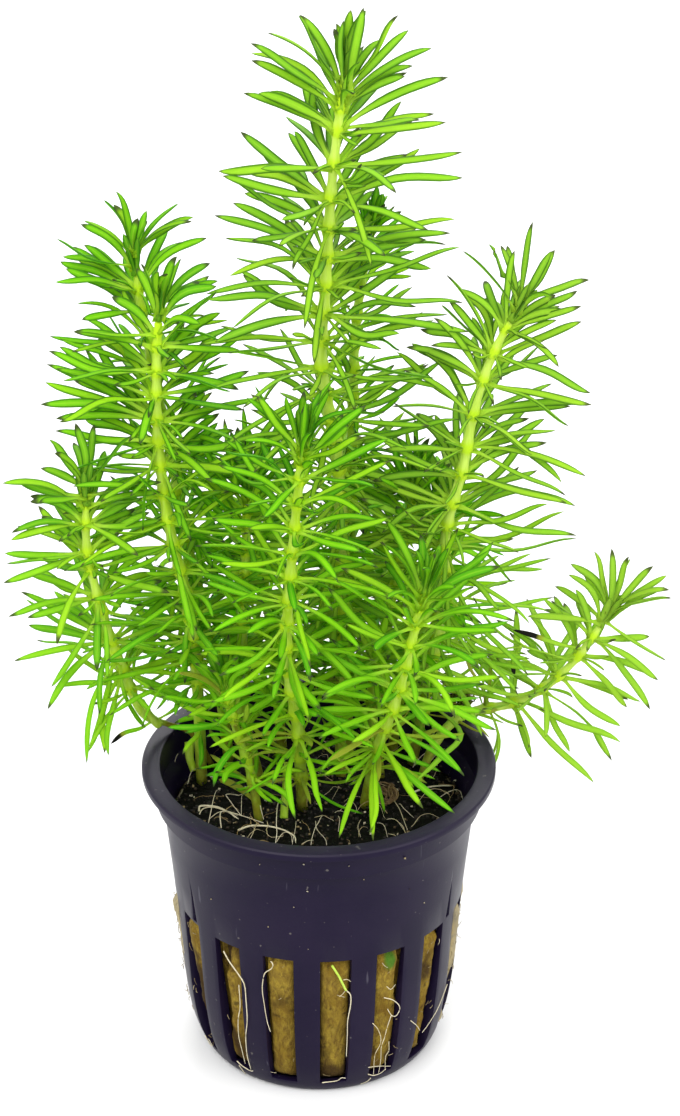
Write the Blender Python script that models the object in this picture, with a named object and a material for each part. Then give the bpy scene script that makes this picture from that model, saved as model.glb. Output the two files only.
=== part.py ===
"""Potted Pogostemon erectus: a bunch of leafy aquarium shoots in a round net pot.

Sizes below are in millimetres and MM turns them into metres. +Z is up, the origin is the centre
of the pot's base, and -Y is the plant's front.
"""
import math
import random

import bmesh
import bpy
import numpy as np
from mathutils import Vector
from mathutils.bvhtree import BVHTree

MM = 0.001
UP = Vector((0, 0, 1))

# Net pot
POT_HEIGHT = 49.6
LIP_RADIUS = 27.5
LIP_THICKNESS = 1.1
COLLAR_RADIUS = 25.6
COLLAR_BOTTOM = 44.2
COLLAR_INNER_RADIUS = 24.7
COLLAR_STEP = 0.5
SLOT_COUNT = 16
SLOT_PHASE = 6.6            # degrees from the front, towards +X, to the middle of the first slot
SLOT_HALF_ANGLE = 6.1       # degrees
SLOT_TOP = 27.5
SLOT_BOTTOM = 2.4
FLOOR_THICKNESS = 1.2
HUB_RADIUS = 8.5            # solid disc in the middle of the floor
FLOOR_HOLE_RADIUS = 14.5    # outer radius of the openings round the hub
WALL_OUTSIDE = [            # radius, height from the collar's step down to the foot
    (24.4, 43.8),
    (22.8, SLOT_TOP),
    (21.9, 14.0),
    (20.9, 6.5),
    (19.7, SLOT_BOTTOM),
    (18.9, 0.7),
    (18.2, 0.0),
]
WALL_INSIDE = [             # radius, height from the floor up to the collar's step
    (17.6, FLOOR_THICKNESS),
    (18.6, SLOT_BOTTOM),
    (21.9, SLOT_TOP),
    (23.4, 43.4),
]
NOTCH_ANGLES = (-57, 64, 184)
NOTCH_TOP = 33.5
NOTCH_BOTTOM = 27.9
NOTCH_WIDTH = 1.7
NOTCH_DEPTH = 0.55

# Rock wool plug
WOOL_GAP = 0.45
WOOL_BOTTOM = 1.6
WOOL_TOP = 42.0
WOOL_SIDES = 24
CONTACT_GAP = 0.3

# Shoots
STEM_RADIUS = 1.15
STEM_SIDES = 6
BARE_STEP = 4.6             # between rings on the leafless foot of a stem
NODE_HEIGHT = 1.2           # height of the band that a whorl's leaves grow from
INTERNODE = 4.7
TOP_INTERNODE = 1.4
BUD_HEIGHT = 8.5
LEAF_GAP = 0.3
LEAF_ROOT_HALF = 0.7        # half the width of a leaf's root, for clearances
LONGEST_BAR = 24            # no leaf or stem stretch is longer
LOW_LEAVES = POT_HEIGHT + 6  # below this height leaves are tested against pot, wool, roots and moss
AZIMUTH_STEP = 9            # degrees that a leaf may turn to pass a neighbour
RISE_STEP = 7

# Each shoot: stem route from the wool to the bud, leaf length, sag of the lower leaves in degrees,
# and the bare length above the wool
SHOOTS = {
    "tall": ([(3.5, 8, 42.3), (3.2, 9, 66), (3.5, 7, 84), (2.6, 5, 100), (0.4, 4, 114), (1, 4, 127),
              (1.7, 4, 140), (2.9, 4, 152), (4, 4, 160)], 18.0, 14, 12),
    "centre": ([(-2.6, -1, 42.3), (-3.2, -4, 57), (-4.8, -6.5, 72), (-4, -9, 88), (-3, -10, 100),
                (-2, -10, 110.5)], 14.5, 26, 5),
    "left": ([(-18.6, 6.5, 42.3), (-18.8, 4, 60), (-19.8, 1, 76), (-22.4, 0, 91), (-23.6, 1.5, 103),
              (-23.6, 2, 115), (-22.8, 2, 125)], 15.5, 22, 10),
    "right": ([(15.2, 12.8, 42.3), (17, 10.8, 56), (18.8, 5, 74), (19.2, 3, 88), (21.2, 2, 98),
               (23, 2, 109), (25.4, 2, 117), (29, 2, 124.6)], 17.0, 30, 8),
    "right_front": ([(7.2, -1, 42.3), (8.8, -5, 54), (11.6, -8, 64.5), (13.6, -10, 75), (16.1, -10, 87)],
                    16.0, 34, 5),
    "far_left": ([(-17.4, 11.2, 42.3), (-18.6, 10.2, 47), (-20.6, 9.4, 51), (-24, 8.2, 52.7),
                  (-27.4, 5.8, 56.4), (-30.4, 2.4, 65), (-32.6, -1, 76), (-34.4, -2, 87),
                  (-34.2, -2, 97.5)], 13.5, 34, 14),
    "far_right": ([(16, 6, 42.3), (18, 6.8, 47.6), (20.8, 8.2, 51.1), (24.6, 10, 52.5),
                   (30, 11.4, 52.9), (35.2, 10.8, 56), (40.4, 10, 62), (45.2, 9.6, 70.6)], 13.5, 24, 14),
    "left_back": ([(-14.6, 13.6, 42.3), (-16, 13, 57), (-19, 11.4, 73), (-21.4, 10.4, 91), (-24, 10, 107),
                   (-26, 10, 120), (-27, 10, 129)], 13.5, 20, 12),
    "tall_back": ([(4.5, 15.5, 42.3), (4.8, 15, 70), (5, 14, 97), (5.4, 14, 114), (6.8, 14, 127),
                   (8.6, 14, 135)], 12.5, 20, 14),
    "mid_right": ([(9.6, 8.5, 42.3), (8.4, 10, 56), (11, 8.4, 72), (13.4, 8, 85), (14.6, 8, 96)],
                  14.0, 26, 8),
    "mid_left": ([(-9.6, 7, 42.3), (-12, 7, 56), (-11.4, 6, 76), (-10.6, 6, 95)], 14.5, 26, 8),
    "low_left": ([(-9.4, -4.6, 42.3), (-10.4, -4, 49), (-12.4, -4.6, 57), (-15, -5, 68)], 12.5, 36, 4),
    "back_left": ([(-6, 16.5, 42.3), (-7.4, 18, 60), (-9.6, 19, 78), (-12, 19.6, 92)], 14.5, 24, 8),
    "back_right": ([(12, 16, 42.3), (13.8, 17.4, 60), (16.6, 18, 76), (19, 18, 88)], 14.5, 24, 8),
}

# Thick pale roots lying on the wool, as routes
ROOT_RADIUS = 0.38
ROOT_SIDES = 5
ROOT_HEIGHT = WOOL_TOP + CONTACT_GAP + ROOT_RADIUS
ROOTS = {
    "root_front": [(-12.4, -9.6), (-10.6, -8.4), (-8, -8.4), (-5.6, -9.4), (-3.8, -11.2), (-3.5, -13.2)],
    "root_left": [(-18.6, -4), (-18.4, -2.6), (-16, -2.8), (-14, -4.4), (-12.4, -6.4)],
    "root_right": [(14.8, 1.4), (16.8, 2.8), (19, 3.4), (21, 3.4)],
}

# Moss tangle resting on the lip beside the right-hand runner
MOSS_CENTRE = (22.2, 15.2, 52.3)
MOSS_SIZE = (3.0, 1.9, 2.2)

PLASTIC = ("dark_plastic", (0.028, 0.022, 0.042), 0.38)
WOOL = ("mineral_wool", (0.20, 0.13, 0.025), 0.95)
LEAF = ("leaf_green", (0.17, 0.45, 0.02), 0.45)
ROOT = ("pale_root", (0.62, 0.58, 0.40), 0.6)
MOSS = ("moss_green", (0.24, 0.26, 0.02), 0.85)


def clear_scene():
    for item in list(bpy.data.objects):
        bpy.data.objects.remove(item, do_unlink=True)


def material(spec):
    name, colour, roughness = spec
    found = bpy.data.materials.get(name)
    if found:
        return found
    made = bpy.data.materials.new(name)
    made.use_nodes = True
    shader = made.node_tree.nodes["Principled BSDF"]
    shader.inputs["Base Color"].default_value = (*colour, 1)
    shader.inputs["Roughness"].default_value = roughness
    shader.inputs["Metallic"].default_value = 0
    made.diffuse_color = (*colour, 1)
    return made


def new_object(name, mesh_points, faces, spec, sharp_angle=35):
    """One closed mesh object from points in millimetres."""
    mesh = bpy.data.meshes.new(name)
    mesh.from_pydata([Vector(p) * MM for p in mesh_points], [], faces)
    mesh.update()
    made = bpy.data.objects.new(name, mesh)
    bpy.context.scene.collection.objects.link(made)
    mesh.materials.append(material(spec))
    mesh.shade_smooth()
    mesh.set_sharp_from_angle(angle=math.radians(sharp_angle))
    return made


def around(radius, angle, height):
    """Point at an angle in degrees from the front, turning towards +X."""
    turn = math.radians(angle)
    return Vector((radius * math.sin(turn), -radius * math.cos(turn), height))


# Net pot

def pot_columns():
    """Angles of the wall's columns: both edges and the middle of each rib between two slots."""
    step = 360 / SLOT_COUNT
    angles = []
    for slot in range(SLOT_COUNT):
        middle = SLOT_PHASE + slot * step
        angles += [middle - SLOT_HALF_ANGLE, middle + SLOT_HALF_ANGLE, middle + step / 2]
    return angles


def pot_rings():
    """The pot's section as one loop, from the lip down the outside and up the inside."""
    lip_bottom = POT_HEIGHT - LIP_THICKNESS
    collar = [
        (LIP_RADIUS, POT_HEIGHT),
        (LIP_RADIUS, lip_bottom),
        (COLLAR_RADIUS, lip_bottom - 0.2),
        (COLLAR_RADIUS - 0.1, COLLAR_BOTTOM),
    ]
    under = [(FLOOR_HOLE_RADIUS, 0), (HUB_RADIUS, 0)]
    floor = [(HUB_RADIUS, FLOOR_THICKNESS), (FLOOR_HOLE_RADIUS, FLOOR_THICKNESS)]
    throat = [
        (COLLAR_INNER_RADIUS - 0.1, COLLAR_BOTTOM + COLLAR_STEP),
        (COLLAR_INNER_RADIUS, POT_HEIGHT),
    ]
    return collar + WALL_OUTSIDE + under, floor + WALL_INSIDE + throat


def find_ring(rings, height, outside):
    for index, (_radius, level) in enumerate(rings):
        if abs(level - height) < 1e-6 and (outside or index > 1):
            return index
    raise ValueError("no ring at that height")


def build_net_pot():
    outside, inside = pot_rings()
    rings = outside + inside
    columns = pot_columns()
    count = len(columns)
    points = [around(radius, angle, height) for radius, height in rings for angle in columns]

    slot_rows_out = (find_ring(outside, SLOT_TOP, True), find_ring(outside, SLOT_BOTTOM, True))
    slot_rows_in = (len(outside) + find_ring(inside, SLOT_BOTTOM, False),
                    len(outside) + find_ring(inside, SLOT_TOP, False))
    hole_row_out = len(outside) - 2
    hole_row_in = len(outside)
    hub_row = len(outside) - 1

    def open_cell(row, column):
        in_slot = column % 3 == 0
        if slot_rows_out[0] <= row < slot_rows_out[1] or slot_rows_in[0] <= row < slot_rows_in[1]:
            return in_slot
        if row in (hole_row_out, hole_row_in):
            return column % 6 != 2
        return False

    def vertex(row, column):
        return row * count + column % count

    faces = []
    row_total = len(rings)
    for row in range(row_total):
        if row == hub_row:
            continue
        below = (row + 1) % row_total
        for column in range(count):
            if open_cell(row, column):
                continue
            faces.append((vertex(row, column), vertex(below, column),
                          vertex(below, column + 1), vertex(row, column + 1)))

    # The hub's two round faces
    faces.append(tuple(vertex(hub_row, column) for column in reversed(range(count)))[::-1])
    faces.append(tuple(vertex(hole_row_in, column) for column in range(count))[::-1])

    # The sides, head and sill of each slot
    top_out, sill_out = slot_rows_out
    sill_in, top_in = slot_rows_in
    for slot in range(SLOT_COUNT):
        left, right = 3 * slot, 3 * slot + 1
        down = [vertex(row, left) for row in range(top_out, sill_out + 1)]
        up = [vertex(row, left) for row in range(sill_in, top_in + 1)]
        faces.append(tuple(down + up)[::-1])
        down = [vertex(row, right) for row in range(top_out, sill_out + 1)]
        up = [vertex(row, right) for row in range(sill_in, top_in + 1)]
        faces.append(tuple(down + up))
        faces.append((vertex(top_out, left), vertex(top_out, right),
                      vertex(top_in, right), vertex(top_in, left))[::-1])
        faces.append((vertex(sill_out, left), vertex(sill_out, right),
                      vertex(sill_in, right), vertex(sill_in, left)))

    # The walls of the openings between hub and outer floor, and round the hub
    for column in range(count):
        if not open_cell(hole_row_out, column):
            continue
        faces.append((vertex(hole_row_out, column), vertex(hole_row_out, column + 1),
                      vertex(hole_row_in + 1, column + 1), vertex(hole_row_in + 1, column))[::-1])
        faces.append((vertex(hub_row, column), vertex(hub_row, column + 1),
                      vertex(hole_row_in, column + 1), vertex(hole_row_in, column)))
        for edge, neighbour in ((column, column - 1), (column + 1, column + 1)):
            if not open_cell(hole_row_out, neighbour % count):
                side = (vertex(hole_row_out, edge), vertex(hub_row, edge),
                        vertex(hole_row_in, edge), vertex(hole_row_in + 1, edge))
                faces.append(side if edge == column else side[::-1])

    pot = new_object("net_pot", points, faces, PLASTIC, sharp_angle=40)
    fix_normals(pot)
    for number, angle in enumerate(NOTCH_ANGLES):
        cut_notch(pot, number, angle)
    return pot


def fix_normals(thing):
    """Turn every face of a closed mesh outward and drop points that no face uses."""
    work = bmesh.new()
    work.from_mesh(thing.data)
    loose = [vert for vert in work.verts if not vert.link_faces]
    bmesh.ops.delete(work, geom=loose, context="VERTS")
    bmesh.ops.recalc_face_normals(work, faces=work.faces)
    work.to_mesh(thing.data)
    work.free()


def wall_radius(height):
    """Outside radius of the pot's wall at a height."""
    for (upper_r, upper_z), (lower_r, lower_z) in zip(WALL_OUTSIDE, WALL_OUTSIDE[1:]):
        if lower_z <= height <= upper_z:
            share = (height - lower_z) / (upper_z - lower_z)
            return lower_r + share * (upper_r - lower_r)
    return WALL_OUTSIDE[0][0]


def cut_notch(pot, number, angle):
    """A stacking notch: a narrow dart in the wall that deepens downwards to a flat ledge."""
    half = math.degrees(NOTCH_WIDTH / 2 / wall_radius(NOTCH_BOTTOM))
    top = wall_radius(NOTCH_TOP)
    bottom = wall_radius(NOTCH_BOTTOM)
    proud = 1.5
    points = [
        around(top + proud, angle - half * 0.4, NOTCH_TOP),
        around(top + proud, angle + half * 0.4, NOTCH_TOP),
        around(bottom + proud, angle + half, NOTCH_BOTTOM),
        around(bottom + proud, angle - half, NOTCH_BOTTOM),
        around(top - 0.02, angle, NOTCH_TOP),
        around(bottom - NOTCH_DEPTH, angle + half * 0.5, NOTCH_BOTTOM),
        around(bottom - NOTCH_DEPTH, angle - half * 0.5, NOTCH_BOTTOM),
    ]
    faces = [(0, 1, 2, 3), (0, 4, 1), (1, 4, 5, 2), (0, 3, 6, 4), (4, 6, 5), (3, 2, 5, 6)]
    cutter = new_object("notch_cutter_%d" % (number + 1), points, faces, PLASTIC)
    fix_normals(cutter)
    cutter.hide_render = True
    cutter.display_type = "WIRE"
    cut = pot.modifiers.new("notch_%d" % (number + 1), "BOOLEAN")
    cut.operation = "DIFFERENCE"
    cut.solver = "EXACT"
    cut.object = cutter


# Rock wool

def build_rock_wool():
    """The plug follows the pot's inside with a small gap, and is flat on top."""
    profile = [(WALL_INSIDE[0][0] - WOOL_GAP - 0.8, WOOL_BOTTOM)]
    profile += [(radius - WOOL_GAP, height) for radius, height in WALL_INSIDE[1:3]]
    profile += [(22.5, WOOL_TOP - 1.6), (21.2, WOOL_TOP)]
    points = [around(radius, 360 * side / WOOL_SIDES, height)
              for radius, height in profile for side in range(WOOL_SIDES)]
    faces = []
    for row in range(len(profile) - 1):
        for side in range(WOOL_SIDES):
            beside = (side + 1) % WOOL_SIDES
            faces.append((row * WOOL_SIDES + side, row * WOOL_SIDES + beside,
                          (row + 1) * WOOL_SIDES + beside, (row + 1) * WOOL_SIDES + side))
    top = (len(profile) - 1) * WOOL_SIDES
    faces.append(tuple(range(WOOL_SIDES))[::-1])
    faces.append(tuple(range(top, top + WOOL_SIDES)))
    return new_object("rock_wool", points, faces, WOOL)


# Routes

class Route:
    """A smooth curve through hand-set points, read by the distance along it."""

    def __init__(self, points, steps=14):
        ends = [2 * Vector(points[0]) - Vector(points[1])]
        ends += [Vector(point) for point in points]
        ends += [2 * ends[-1] - ends[-2]]
        self.samples = []
        for before, start, end, after in zip(ends, ends[1:], ends[2:], ends[3:]):
            for step in range(steps):
                self.samples.append(self.catmull(before, start, end, after, step / steps))
        self.samples.append(ends[-2])
        self.reach = [0.0]
        for here, there in zip(self.samples, self.samples[1:]):
            self.reach.append(self.reach[-1] + (there - here).length)
        self.length = self.reach[-1]

    @staticmethod
    def catmull(before, start, end, after, share):
        square = share * share
        cube = square * share
        return 0.5 * (2 * start + (end - before) * share
                      + (2 * before - 5 * start + 4 * end - after) * square
                      + (3 * start - before - 3 * end + after) * cube)

    def at(self, distance):
        distance = min(max(distance, 0.0), self.length)
        index = int(np.searchsorted(self.reach, distance, side="right")) - 1
        index = min(index, len(self.samples) - 2)
        span = self.reach[index + 1] - self.reach[index]
        share = (distance - self.reach[index]) / span
        return self.samples[index].lerp(self.samples[index + 1], share)

    def frame(self, distance):
        """Place on the route, the way it runs, and two level-ish directions across it."""
        here = self.at(distance)
        along = (self.at(distance + 0.8) - self.at(distance - 0.8)).normalized()
        if distance > self.length - 0.9:
            along = (self.at(self.length) - self.at(self.length - 1.6)).normalized()
        side = Vector((1, 0, 0))
        side = (side - side.dot(along) * along).normalized()
        return here, along, side, along.cross(side)


def ring_points(route, distance, radius, sides, turn):
    here, _along, side, across = route.frame(distance)
    points = []
    for corner in range(sides):
        angle = math.radians(turn) + 2 * math.pi * corner / sides
        points.append(here + radius * (math.cos(angle) * side + math.sin(angle) * across))
    return points


# Clearances between the thin leaves

class Bars:
    """Every stem stretch and leaf so far, as straight bars with a radius at each end."""

    def __init__(self, most=4000):
        self.count = 0
        self.starts = np.zeros((most, 3))
        self.ends = np.zeros((most, 3))
        self.radii = np.zeros((most, 2))
        self.shoots = np.full(most, -1)
        self.ranks = np.full(most, -1)

    def add(self, start, end, start_radius, end_radius, shoot, rank):
        """A stem stretch has rank -1."""
        self.starts[self.count] = start
        self.ends[self.count] = end
        self.radii[self.count] = (start_radius, end_radius)
        self.shoots[self.count] = shoot
        self.ranks[self.count] = rank
        self.count += 1

    def is_clear(self, start, end, start_radius, shoot, rank):
        """True where a tapering bar keeps the leaf gap to all but its own stem and whorl."""
        shoots = self.shoots[:self.count]
        ranks = self.ranks[:self.count]
        p0 = np.array(start)
        d1 = np.array(end) - p0
        size = math.sqrt(d1 @ d1)
        near = np.linalg.norm(self.starts[:self.count] - p0, axis=1) < size + LONGEST_BAR
        kept = near & ~((shoots == shoot) & ((ranks == -1) | (ranks == rank)))
        if not kept.any():
            return True
        q0 = self.starts[:self.count][kept]
        d2 = self.ends[:self.count][kept] - q0
        radii = self.radii[:self.count][kept]
        r = p0 - q0
        a = d1 @ d1
        e = np.einsum("ij,ij->i", d2, d2)
        f = np.einsum("ij,ij->i", d2, r)
        b = d2 @ d1
        c = r @ d1
        denominator = np.maximum(a * e - b * b, 1e-9)
        s = np.clip((b * f - c * e) / denominator, 0, 1)
        t = np.clip((b * s + f) / e, 0, 1)
        s = np.clip((b * t - c) / a, 0, 1)
        apart = np.linalg.norm(r + s[:, None] * d1 - t[:, None] * d2, axis=1)
        needed = start_radius * (1 - s) + radii[:, 0] * (1 - t) + radii[:, 1] * t + LEAF_GAP
        return bool(np.all(apart > needed))


def surface_tree(things):
    points, faces = [], []
    for thing in things:
        start = len(points)
        points += [vert.co / MM for vert in thing.data.vertices]
        faces += [[start + index for index in face.vertices] for face in thing.data.polygons]
    return BVHTree.FromPolygons(points, faces)


def clears_surface(tree, start, end, start_radius, gap):
    """True where a tapering bar keeps the gap to a surface all the way along."""
    reach = end - start
    if tree.ray_cast(start, reach.normalized(), reach.length + gap)[0]:
        return False
    for share in (0.15, 0.3, 0.45, 0.6, 0.75, 0.9, 1.0):
        spot = start + share * reach
        if spot.z > LOW_LEAVES:
            continue
        nearest = tree.find_nearest(spot)
        if nearest[3] < start_radius * (1 - share) + gap:
            return False
    return True


# Shoots

def whorl_distances(length, bare):
    """Distances of the whorls from the wool, youngest first, closing up towards the bud."""
    places = []
    distance = length
    rank = 0
    while distance > bare:
        places.append(distance)
        distance -= INTERNODE - (INTERNODE - TOP_INTERNODE) * math.exp(-rank / 1.7)
        rank += 1
    return places


def leaf_length(full, rank):
    return full * (1 - 0.5 * math.exp(-rank / 1.8))


def leaf_rise(rank, sag):
    """Degrees that a leaf points above square to the stem: steep at the tip, hanging lower down."""
    return 64 * math.exp(-rank / 2.2) + 6 - sag * (1 - math.exp(-rank / 9))


def leaf_tip(root, along, outward, length, rise):
    """End of a leaf that leaves the stem at its rise and bends down a little under its weight."""
    turn = math.radians(rise - 8)
    way = math.cos(turn) * outward + math.sin(turn) * along
    weight = 0.09 * math.cos(turn)
    return root + length * 0.98 * (way - weight * UP)


def grow_leaves(name, shoot, route, spec, bars, tree):
    """Tips of the leaves of every whorl: one for each side of the stem, or None where it won't fit."""
    _points, full, sag, bare = spec
    chance = random.Random(name)
    whorls = []
    for rank, distance in enumerate(whorl_distances(route.length, bare)):
        here, along, side, across = route.frame(distance)
        phase = chance.uniform(0, 60)
        tips = []
        for leaf in range(STEM_SIDES):
            base_turn = phase + (leaf + 0.5) * 360 / STEM_SIDES
            length = leaf_length(full, rank) * chance.uniform(0.86, 1.06)
            rise = leaf_rise(rank, sag) + chance.uniform(-7, 7)
            tips.append(place_leaf((here, along, side, across), base_turn, length, rise,
                                   (shoot, rank), bars, tree))
        for leaf, tip in enumerate(tips):
            if tip:
                turn = math.radians(phase + (leaf + 0.5) * 360 / STEM_SIDES)
                outward = math.cos(turn) * side + math.sin(turn) * across
                bars.add(here + STEM_RADIUS * outward, tip, LEAF_ROOT_HALF, 0, shoot, rank)
        whorls.append((distance, phase, tips))
    return whorls


def place_leaf(frame, base_turn, length, rise, owner, bars, tree):
    """Try a leaf at its place, then a little turned, raised or shortened, until it is clear."""
    here, along, side, across = frame
    root_turn = math.radians(base_turn)
    root = here + STEM_RADIUS * (math.cos(root_turn) * side + math.sin(root_turn) * across)
    for shrink in (1.0, 0.85, 0.65):
        for turn_step in (0, 1, -1, 2, -2):
            for rise_step in (0, 1, -1, 2, -2, 3):
                turn = math.radians(base_turn + turn_step * AZIMUTH_STEP)
                outward = math.cos(turn) * side + math.sin(turn) * across
                tip = leaf_tip(root, along, outward, length * shrink, rise + rise_step * RISE_STEP)
                if not bars.is_clear(root, tip, LEAF_ROOT_HALF, *owner):
                    continue
                if min(tip.z, root.z) < LOW_LEAVES:
                    if not clears_surface(tree, root, tip, LEAF_ROOT_HALF, LEAF_GAP):
                        continue
                return tip
    return None


def add_stem_bars(shoot, route, bars):
    steps = max(int(route.length / 3), 2)
    for step in range(steps):
        start = route.at(route.length * step / steps)
        end = route.at(route.length * (step + 1) / steps)
        bars.add(start, end, STEM_RADIUS, STEM_RADIUS, shoot, -1)
    bars.add(route.at(route.length), bud_point(route), STEM_RADIUS, 0, shoot, -1)


def bud_point(route):
    end, along, _side, _across = route.frame(route.length)
    return end + along * BUD_HEIGHT


def build_shoot(name, route, whorls):
    """Stem and leaves as one closed mesh, from the wool up to the bud's point."""
    points, faces = [], []

    def add_ring(distance, turn):
        for point in ring_points(route, distance, STEM_RADIUS, STEM_SIDES, turn):
            point.z = max(point.z, WOOL_TOP + CONTACT_GAP)
            points.append(point)
        return len(points) - STEM_SIDES

    def join(lower, upper):
        for side in range(STEM_SIDES):
            beside = (side + 1) % STEM_SIDES
            faces.append((lower + side, lower + beside, upper + beside, upper + side))

    oldest_first = list(reversed(whorls))
    first_distance, first_phase, _tips = oldest_first[0]
    previous = add_ring(0, first_phase)
    faces.append(tuple(previous + side for side in range(STEM_SIDES))[::-1])
    bare_steps = round((first_distance - NODE_HEIGHT) / BARE_STEP)
    for step in range(1, bare_steps):
        ring = add_ring(step * BARE_STEP, first_phase)
        join(previous, ring)
        previous = ring
    for distance, phase, tips in oldest_first:
        lower = add_ring(max(distance - NODE_HEIGHT / 2, 0.4), phase)
        upper = add_ring(min(distance + NODE_HEIGHT / 2, route.length), phase)
        join(previous, lower)
        for side in range(STEM_SIDES):
            beside = (side + 1) % STEM_SIDES
            corners = (lower + side, lower + beside, upper + beside, upper + side)
            if tips[side] is None:
                faces.append(corners)
                continue
            points.append(tips[side])
            tip = len(points) - 1
            for corner in range(4):
                faces.append((corners[corner], corners[(corner + 1) % 4], tip))
        previous = upper
    points.append(bud_point(route))
    for side in range(STEM_SIDES):
        faces.append((previous + side, previous + (side + 1) % STEM_SIDES, len(points) - 1))
    return new_object("shoot_" + name, points, faces, LEAF, sharp_angle=50)


def build_shoots(surfaces):
    tree = surface_tree(surfaces)
    bars = Bars()
    routes = {name: Route(spec[0]) for name, spec in SHOOTS.items()}
    for shoot, name in enumerate(SHOOTS):
        add_stem_bars(shoot, routes[name], bars)
    for shoot, (name, spec) in enumerate(SHOOTS.items()):
        whorls = grow_leaves(name, shoot, routes[name], spec, bars, tree)
        build_shoot(name, routes[name], whorls)


# Roots and moss

def build_root(name, places):
    route = Route([(x, y, ROOT_HEIGHT) for x, y in places], steps=4)
    count = 2 * len(places) - 1
    points, faces = [], []
    for step in range(count):
        distance = route.length * step / (count - 1)
        here = route.at(distance)
        along = (route.at(distance + 0.5) - route.at(distance - 0.5)).normalized()
        across = along.cross(UP)
        radius = ROOT_RADIUS * (0.6 if step in (0, count - 1) else 1)
        for corner in range(ROOT_SIDES):
            angle = 2 * math.pi * corner / ROOT_SIDES
            points.append(here + radius * (math.cos(angle) * across + math.sin(angle) * UP))
    for step in range(count - 1):
        for side in range(ROOT_SIDES):
            beside = (side + 1) % ROOT_SIDES
            start = step * ROOT_SIDES
            faces.append((start + side, start + beside,
                          start + ROOT_SIDES + beside, start + ROOT_SIDES + side))
    faces.append(tuple(range(ROOT_SIDES)))
    faces.append(tuple(range(len(points) - ROOT_SIDES, len(points))))
    root = new_object(name, points, faces, ROOT, sharp_angle=60)
    fix_normals(root)
    return root


def build_moss():
    work = bmesh.new()
    bmesh.ops.create_icosphere(work, subdivisions=2, radius=1)
    chance = random.Random("moss")
    for vert in work.verts:
        swell = chance.uniform(0.86, 1.1)
        vert.co = [centre + swell * part * size
                   for centre, part, size in zip(MOSS_CENTRE, vert.co, MOSS_SIZE)]
        vert.co.z = max(vert.co.z, POT_HEIGHT + CONTACT_GAP)
    points = [vert.co.copy() for vert in work.verts]
    faces = [[vert.index for vert in face.verts] for face in work.faces]
    work.free()
    return new_object("moss_clump", points, faces, MOSS, sharp_angle=60)


def main():
    clear_scene()
    surfaces = [build_net_pot(), build_rock_wool(), build_moss()]
    surfaces += [build_root(name, places) for name, places in ROOTS.items()]
    build_shoots(surfaces)


main()
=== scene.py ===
"""Looks of the potted Pogostemon erectus: leafy shoots in a plug of rock wool, in a slotted net pot.

Lengths are in millimetres, and MM turns them into metres. The origin is the centre of the pot's
base, +Z is up and -Y is the front. Angles round the pot start at the front and turn towards +X.
"""
import math
import random

import bmesh
import bpy
import numpy as np
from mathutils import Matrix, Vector, noise


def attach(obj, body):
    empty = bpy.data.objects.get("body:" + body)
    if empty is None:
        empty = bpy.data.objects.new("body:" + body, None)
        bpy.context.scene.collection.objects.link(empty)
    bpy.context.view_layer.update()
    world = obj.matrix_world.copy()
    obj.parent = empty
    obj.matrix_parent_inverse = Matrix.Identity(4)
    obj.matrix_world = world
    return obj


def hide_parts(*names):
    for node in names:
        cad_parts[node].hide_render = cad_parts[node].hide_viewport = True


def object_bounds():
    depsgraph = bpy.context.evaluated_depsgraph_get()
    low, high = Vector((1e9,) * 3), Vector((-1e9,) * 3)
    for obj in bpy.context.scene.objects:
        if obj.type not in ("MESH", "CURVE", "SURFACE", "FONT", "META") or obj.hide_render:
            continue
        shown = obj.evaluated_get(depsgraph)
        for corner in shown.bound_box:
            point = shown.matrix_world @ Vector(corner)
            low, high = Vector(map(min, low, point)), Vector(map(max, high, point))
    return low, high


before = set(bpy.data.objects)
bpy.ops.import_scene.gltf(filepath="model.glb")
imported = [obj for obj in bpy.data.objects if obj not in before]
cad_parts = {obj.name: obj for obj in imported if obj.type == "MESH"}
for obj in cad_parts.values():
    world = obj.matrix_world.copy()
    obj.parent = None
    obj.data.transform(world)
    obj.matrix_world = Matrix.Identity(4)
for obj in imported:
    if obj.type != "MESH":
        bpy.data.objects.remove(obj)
CAD_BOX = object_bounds()

MM = 0.001
UP = np.array((0.0, 0.0, 1.0))

# Routes: samples from one given point to the next, and how far a direction is read each way
ROUTE_STEPS = 14
FRAME_REACH = 0.8

# Net pot
POT_HEIGHT = 49.6
LIP_RADIUS = 27.5
LIP_THICKNESS = 1.1
LIP_BOTTOM = POT_HEIGHT - LIP_THICKNESS
COLLAR_RADIUS = 25.6
COLLAR_BOTTOM = 44.2
COLLAR_INNER_RADIUS = 24.7
COLLAR_STEP = 0.5
SLOT_COUNT = 16
SLOT_STEP = 360 / SLOT_COUNT
COLUMNS_PER_SLOT = 4
PROFILE_STEPS = 3
SLOT_PHASE = 6.6
SLOT_HALF_ANGLE = 6.1
SLOT_TOP = 27.5
SLOT_BOTTOM = 2.4
FLOOR_THICKNESS = 1.2
HUB_RADIUS = 8.5
FLOOR_HOLE_RADIUS = 14.5

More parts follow.
